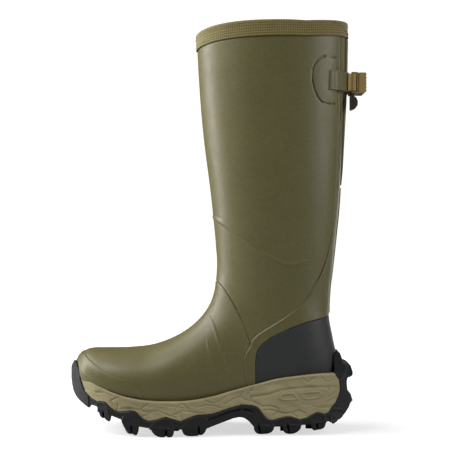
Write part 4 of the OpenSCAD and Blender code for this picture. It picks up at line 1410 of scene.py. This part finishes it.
def outsole_steps():
    """What makes the outsole's lugs round: the square ones go, and rounded ones take their place."""
    heel = [(125.1, 12.4), (127, 13), (130.5, 14.6), (134, 16.4), (140, 21.5), (144.5, 26.5),
            (147.5, 32), (170, 34),
            (170, -10), (125.1, -10)]
    lugs = [lug(outline, foot, side) for outline, _, foot in LUGS for side in (-1, 1)]
    cuts = [slot(line, side) for _, line, _ in LUGS for side in (-1, 1)] + [arch_groove(-1),
            arch_groove(1)]
    for y in (-9, 9):
        cuts.append(block((146.5, 156), (y - 0.8, y + 0.8), (33, 60)))
    for x, z in ((-66, 1), (-45, 0), (-22, 0.5), (50, 0.5), (79, 0)):
        cuts.append(block((x + 1, x + 2.4), (-15, 15), (z - 2, z + 4)))
    notch = [(143.4, 60.4), (152, 57.5), (152, 47), (144.4, 46.2), (142.4, 51.5), (142.2, 56)]
    spur = [(138.8, 76.2), (142.8, 75.6), (146.6, 73.4), (149.2, 66), (149, 62), (145.5, 60.6),
            (138, 66)]
    cut_back = [(pts, outward(pts, faces)) for pts,
                faces in (prism(heel, -60, 60), prism(notch, -40, 40))]
    spur = prism(spur, -19, 19)
    return [("DIFFERENCE", [ring_under(-1), ring_under(1)]), ("DIFFERENCE", cut_back),
            ("UNION", lugs + [(spur[0], outward(*spur))]), ("UNION", [toe_bumper()]),
            ("DIFFERENCE", cuts)]


def outsole_shape(p, n):
    x, z = p[:, 0], p[:, 2]
    d = from_line(WAVE, x, z)
    wall = ease((0.85 - np.abs(n[:, 2])) / 0.4)
    arch = ease((x + 11) / 5) * ease((41 - x) / 5)
    return p + n * (wall * (0.5 * bell(d - 1.5, 1.2) + 0.4 * arch * bell(d - 3.2, 1.2)))[:, None]


TOE_TOP = np.array([[-164.4, 69.5], [-161, 75], [-158, 79], [-155.5, 75], [-152, 67.5], [-150, 61],
                    [-148, 53.5],
                    [-144.8, 46.9], [-138.6, 41.4], [-130.6, 37.8]])
TOE_LOW = np.array([[-164.3, 58], [-162.5, 51.5], [-160.5, 46], [-157.5, 42], [-154.3, 38.4],
                    [-150.5, 35.5],
                    [-146.8, 33], [-139.4, 28.8]])


def edge_path(start, stop, both):
    """The sole's edge from above, towards the toe on the outer side and back on the inner side."""
    fine = through(EDGE, np.linspace(0, len(EDGE) - 1, 500))
    fine = fine[(fine[:, 0] >= start) & (fine[:, 0] <= stop)]
    outer = np.stack([fine[:, 0], fine[:, 1] - fine[:, 2]], 1)[::-1]
    inner = np.stack([fine[:, 0], fine[:, 1] + fine[:, 2]], 1)
    return [np.concatenate([outer, inner])] if both else [outer, inner]


def edge_band(path, low, high, out, deep):
    """A band that follows the sole's edge between two heights."""
    run = np.gradient(path, axis=0)
    n = np.stack([-run[:, 1], run[:, 0]], 1) / np.linalg.norm(run, axis=1, keepdims=True)
    far, near = path + n * out(path[:, 0])[:, None], path - n * deep
    z0, z1 = low(path[:, 0]), high(path[:, 0])
    corners = [(far, z1), (far, z0), (near, z0), (near, z1)]
    pts = np.stack([np.column_stack([xy, z]) for xy, z in corners], 1).reshape(-1, 3)
    return pts, outward(pts, tube_faces(len(path)))


def toe_bumper():
    """The outsole's lip round the toe, stout enough to stand out from the upper."""
    return edge_band(edge_path(-170, -139.6, True)[0], lambda x: np.interp(x, *TOE_LOW.T),
                     lambda x: np.interp(x, *TOE_TOP.T), lambda x: 0.5 + 0.8 * ease((x + 162) / 6), 1.0)


def toe_wedges():
    """The midsole's thin ends beside the toe."""
    return [edge_band(path, lambda x: np.interp(x, *TOE_TOP.T) - 0.5,
                      lambda x: np.interp(x, [-149.6, -140, -128, -110], [62.8, 58.2, 53, 47]),
                      lambda x: 0.2 + 0.6 * ease((-122 - x) / 12), 1.6) for path in edge_path(-149.6,
                              -118, False)]


def sole():
    obj = softened("midsole_foam", copy_of("midsole"), 0.75, 3,
                   [("UNION", toe_wedges())])
    moved(obj, midsole_shape)
    finish_piece(obj, MATS["midsole"], "boot", ["midsole"], crease=80)
    obj = softened("outsole_rubber", copy_of("outsole"), 0.7, 2, outsole_steps())
    moved(obj, outsole_shape)
    finish_piece(obj, MATS["black"], "boot", ["outsole"], crease=80)


sole()

# ---------------------------------------------------------------- lining and footbed
def whole(p):
    return np.full(len(p), 50.0)


def linings():
    rows = rows_between([(0, 14, 5), (14, LAST, 6)])
    turns = 2 * np.pi * (np.arange(144) + 0.5) / 144
    foam = skin_piece("insulation_foam", rows, turns, whole, lambda p: -FOAM_OUT - 0.05 + 0 * p[:, 0],
                      -FOAM_OUT - FOAM + 0.05, MATS["foam"], "foam", ["foam_lining"], wrap=True,
                      levels=(),
                      cap=1)
    knit = skin_piece("knit_lining", rows, turns, whole, lambda p: -KNIT_OUT - 0.05 + 0 * p[:, 0],
                      -INSIDE,
                      MATS["knit"], "knit", ["knit_liner"], wrap=True, levels=(), cap=1)
    knit.data.update()


FLOOR_LINE = [[-152, 64], [-143, 57.5], [-130, 52], [-108, 46], [-82, 40.5], [-52, 39], [-20, 41.5],
              [12, 46.5],
              [45, 51.5], [78, 54.5], [105, 57], [124, 62]]


def inner_form(depth):
    """A closed solid of the space inside the lining."""
    rows = np.linspace(0, LAST, 90)
    turns = 2 * np.pi * (np.arange(120) + 0.5) / 120
    tt, aa = np.meshgrid(rows, turns, indexing="ij")
    p, _ = skin(tt, aa, np.full(tt.shape, -depth))
    faces = grid_faces(len(rows), len(turns), True)
    n = len(turns)
    faces += [tuple(range(n)), tuple(reversed(range((len(rows) - 1) * n, len(rows) * n)))]
    pts = p.reshape(-1, 3)
    return pts, outward(pts, faces)


def slab(low, high):
    """A wide layer that follows the inside floor, dished a little across."""
    line = smooth_line(FLOOR_LINE, 14)
    x, floor = line[:, 0], line[:, 1]
    y = np.linspace(-46, 46, 60)
    xx, yy = np.meshgrid(x, y, indexing="ij")
    base = floor[:, None] + 1.6 * (yy / 40) ** 2 * ease((x[:, None] + 60) / 80)
    top = np.stack([xx, yy, base + high], -1).reshape(-1, 3)
    under = np.stack([xx, yy, base + low], -1).reshape(-1, 3)
    pts, faces = thick(top, under, grid_faces(len(x), len(y), False))
    return pts, outward(pts, faces)


def fitted(name, solid, form):
    """A solid kept only where the form is."""
    meshes = []
    for pts, faces in (solid, form):
        mesh = bpy.data.meshes.new(name)
        mesh.from_pydata((pts * MM).tolist(), [], faces)
        obj = bpy.data.objects.new(name, mesh)
        bpy.context.collection.objects.link(obj)
        meshes.append(obj)
    cut = meshes[0].modifiers.new("fit", "BOOLEAN")
    cut.object, cut.operation, cut.solver = meshes[1], "INTERSECT", "MANIFOLD"
    apply_modifiers(meshes[0])
    bpy.data.objects.remove(meshes[1])
    return meshes[0]


def footbed():
    form = inner_form(INSIDE + 0.3)
    bed = fitted("footbed_foam", slab(-20, 0.0), form)
    finish_piece(bed, MATS["footbed"], "boot", ["footbed"])
    cover = fitted("footbed_knit_cover", slab(0.1, 0.9), form)
    finish_piece(cover, MATS["cover"], "boot", ["footbed_cover"])


linings()
footbed()

# ---------------------------------------------------------------- hidden CAD nodes
for node_name, finish in (("insole_board", "board"), ("toe_puff", "board"), ("heel_stiffener", "board"),
                          ("shank", "steel")):
    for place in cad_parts[node_name].material_slots:
        place.material = MATS[finish]
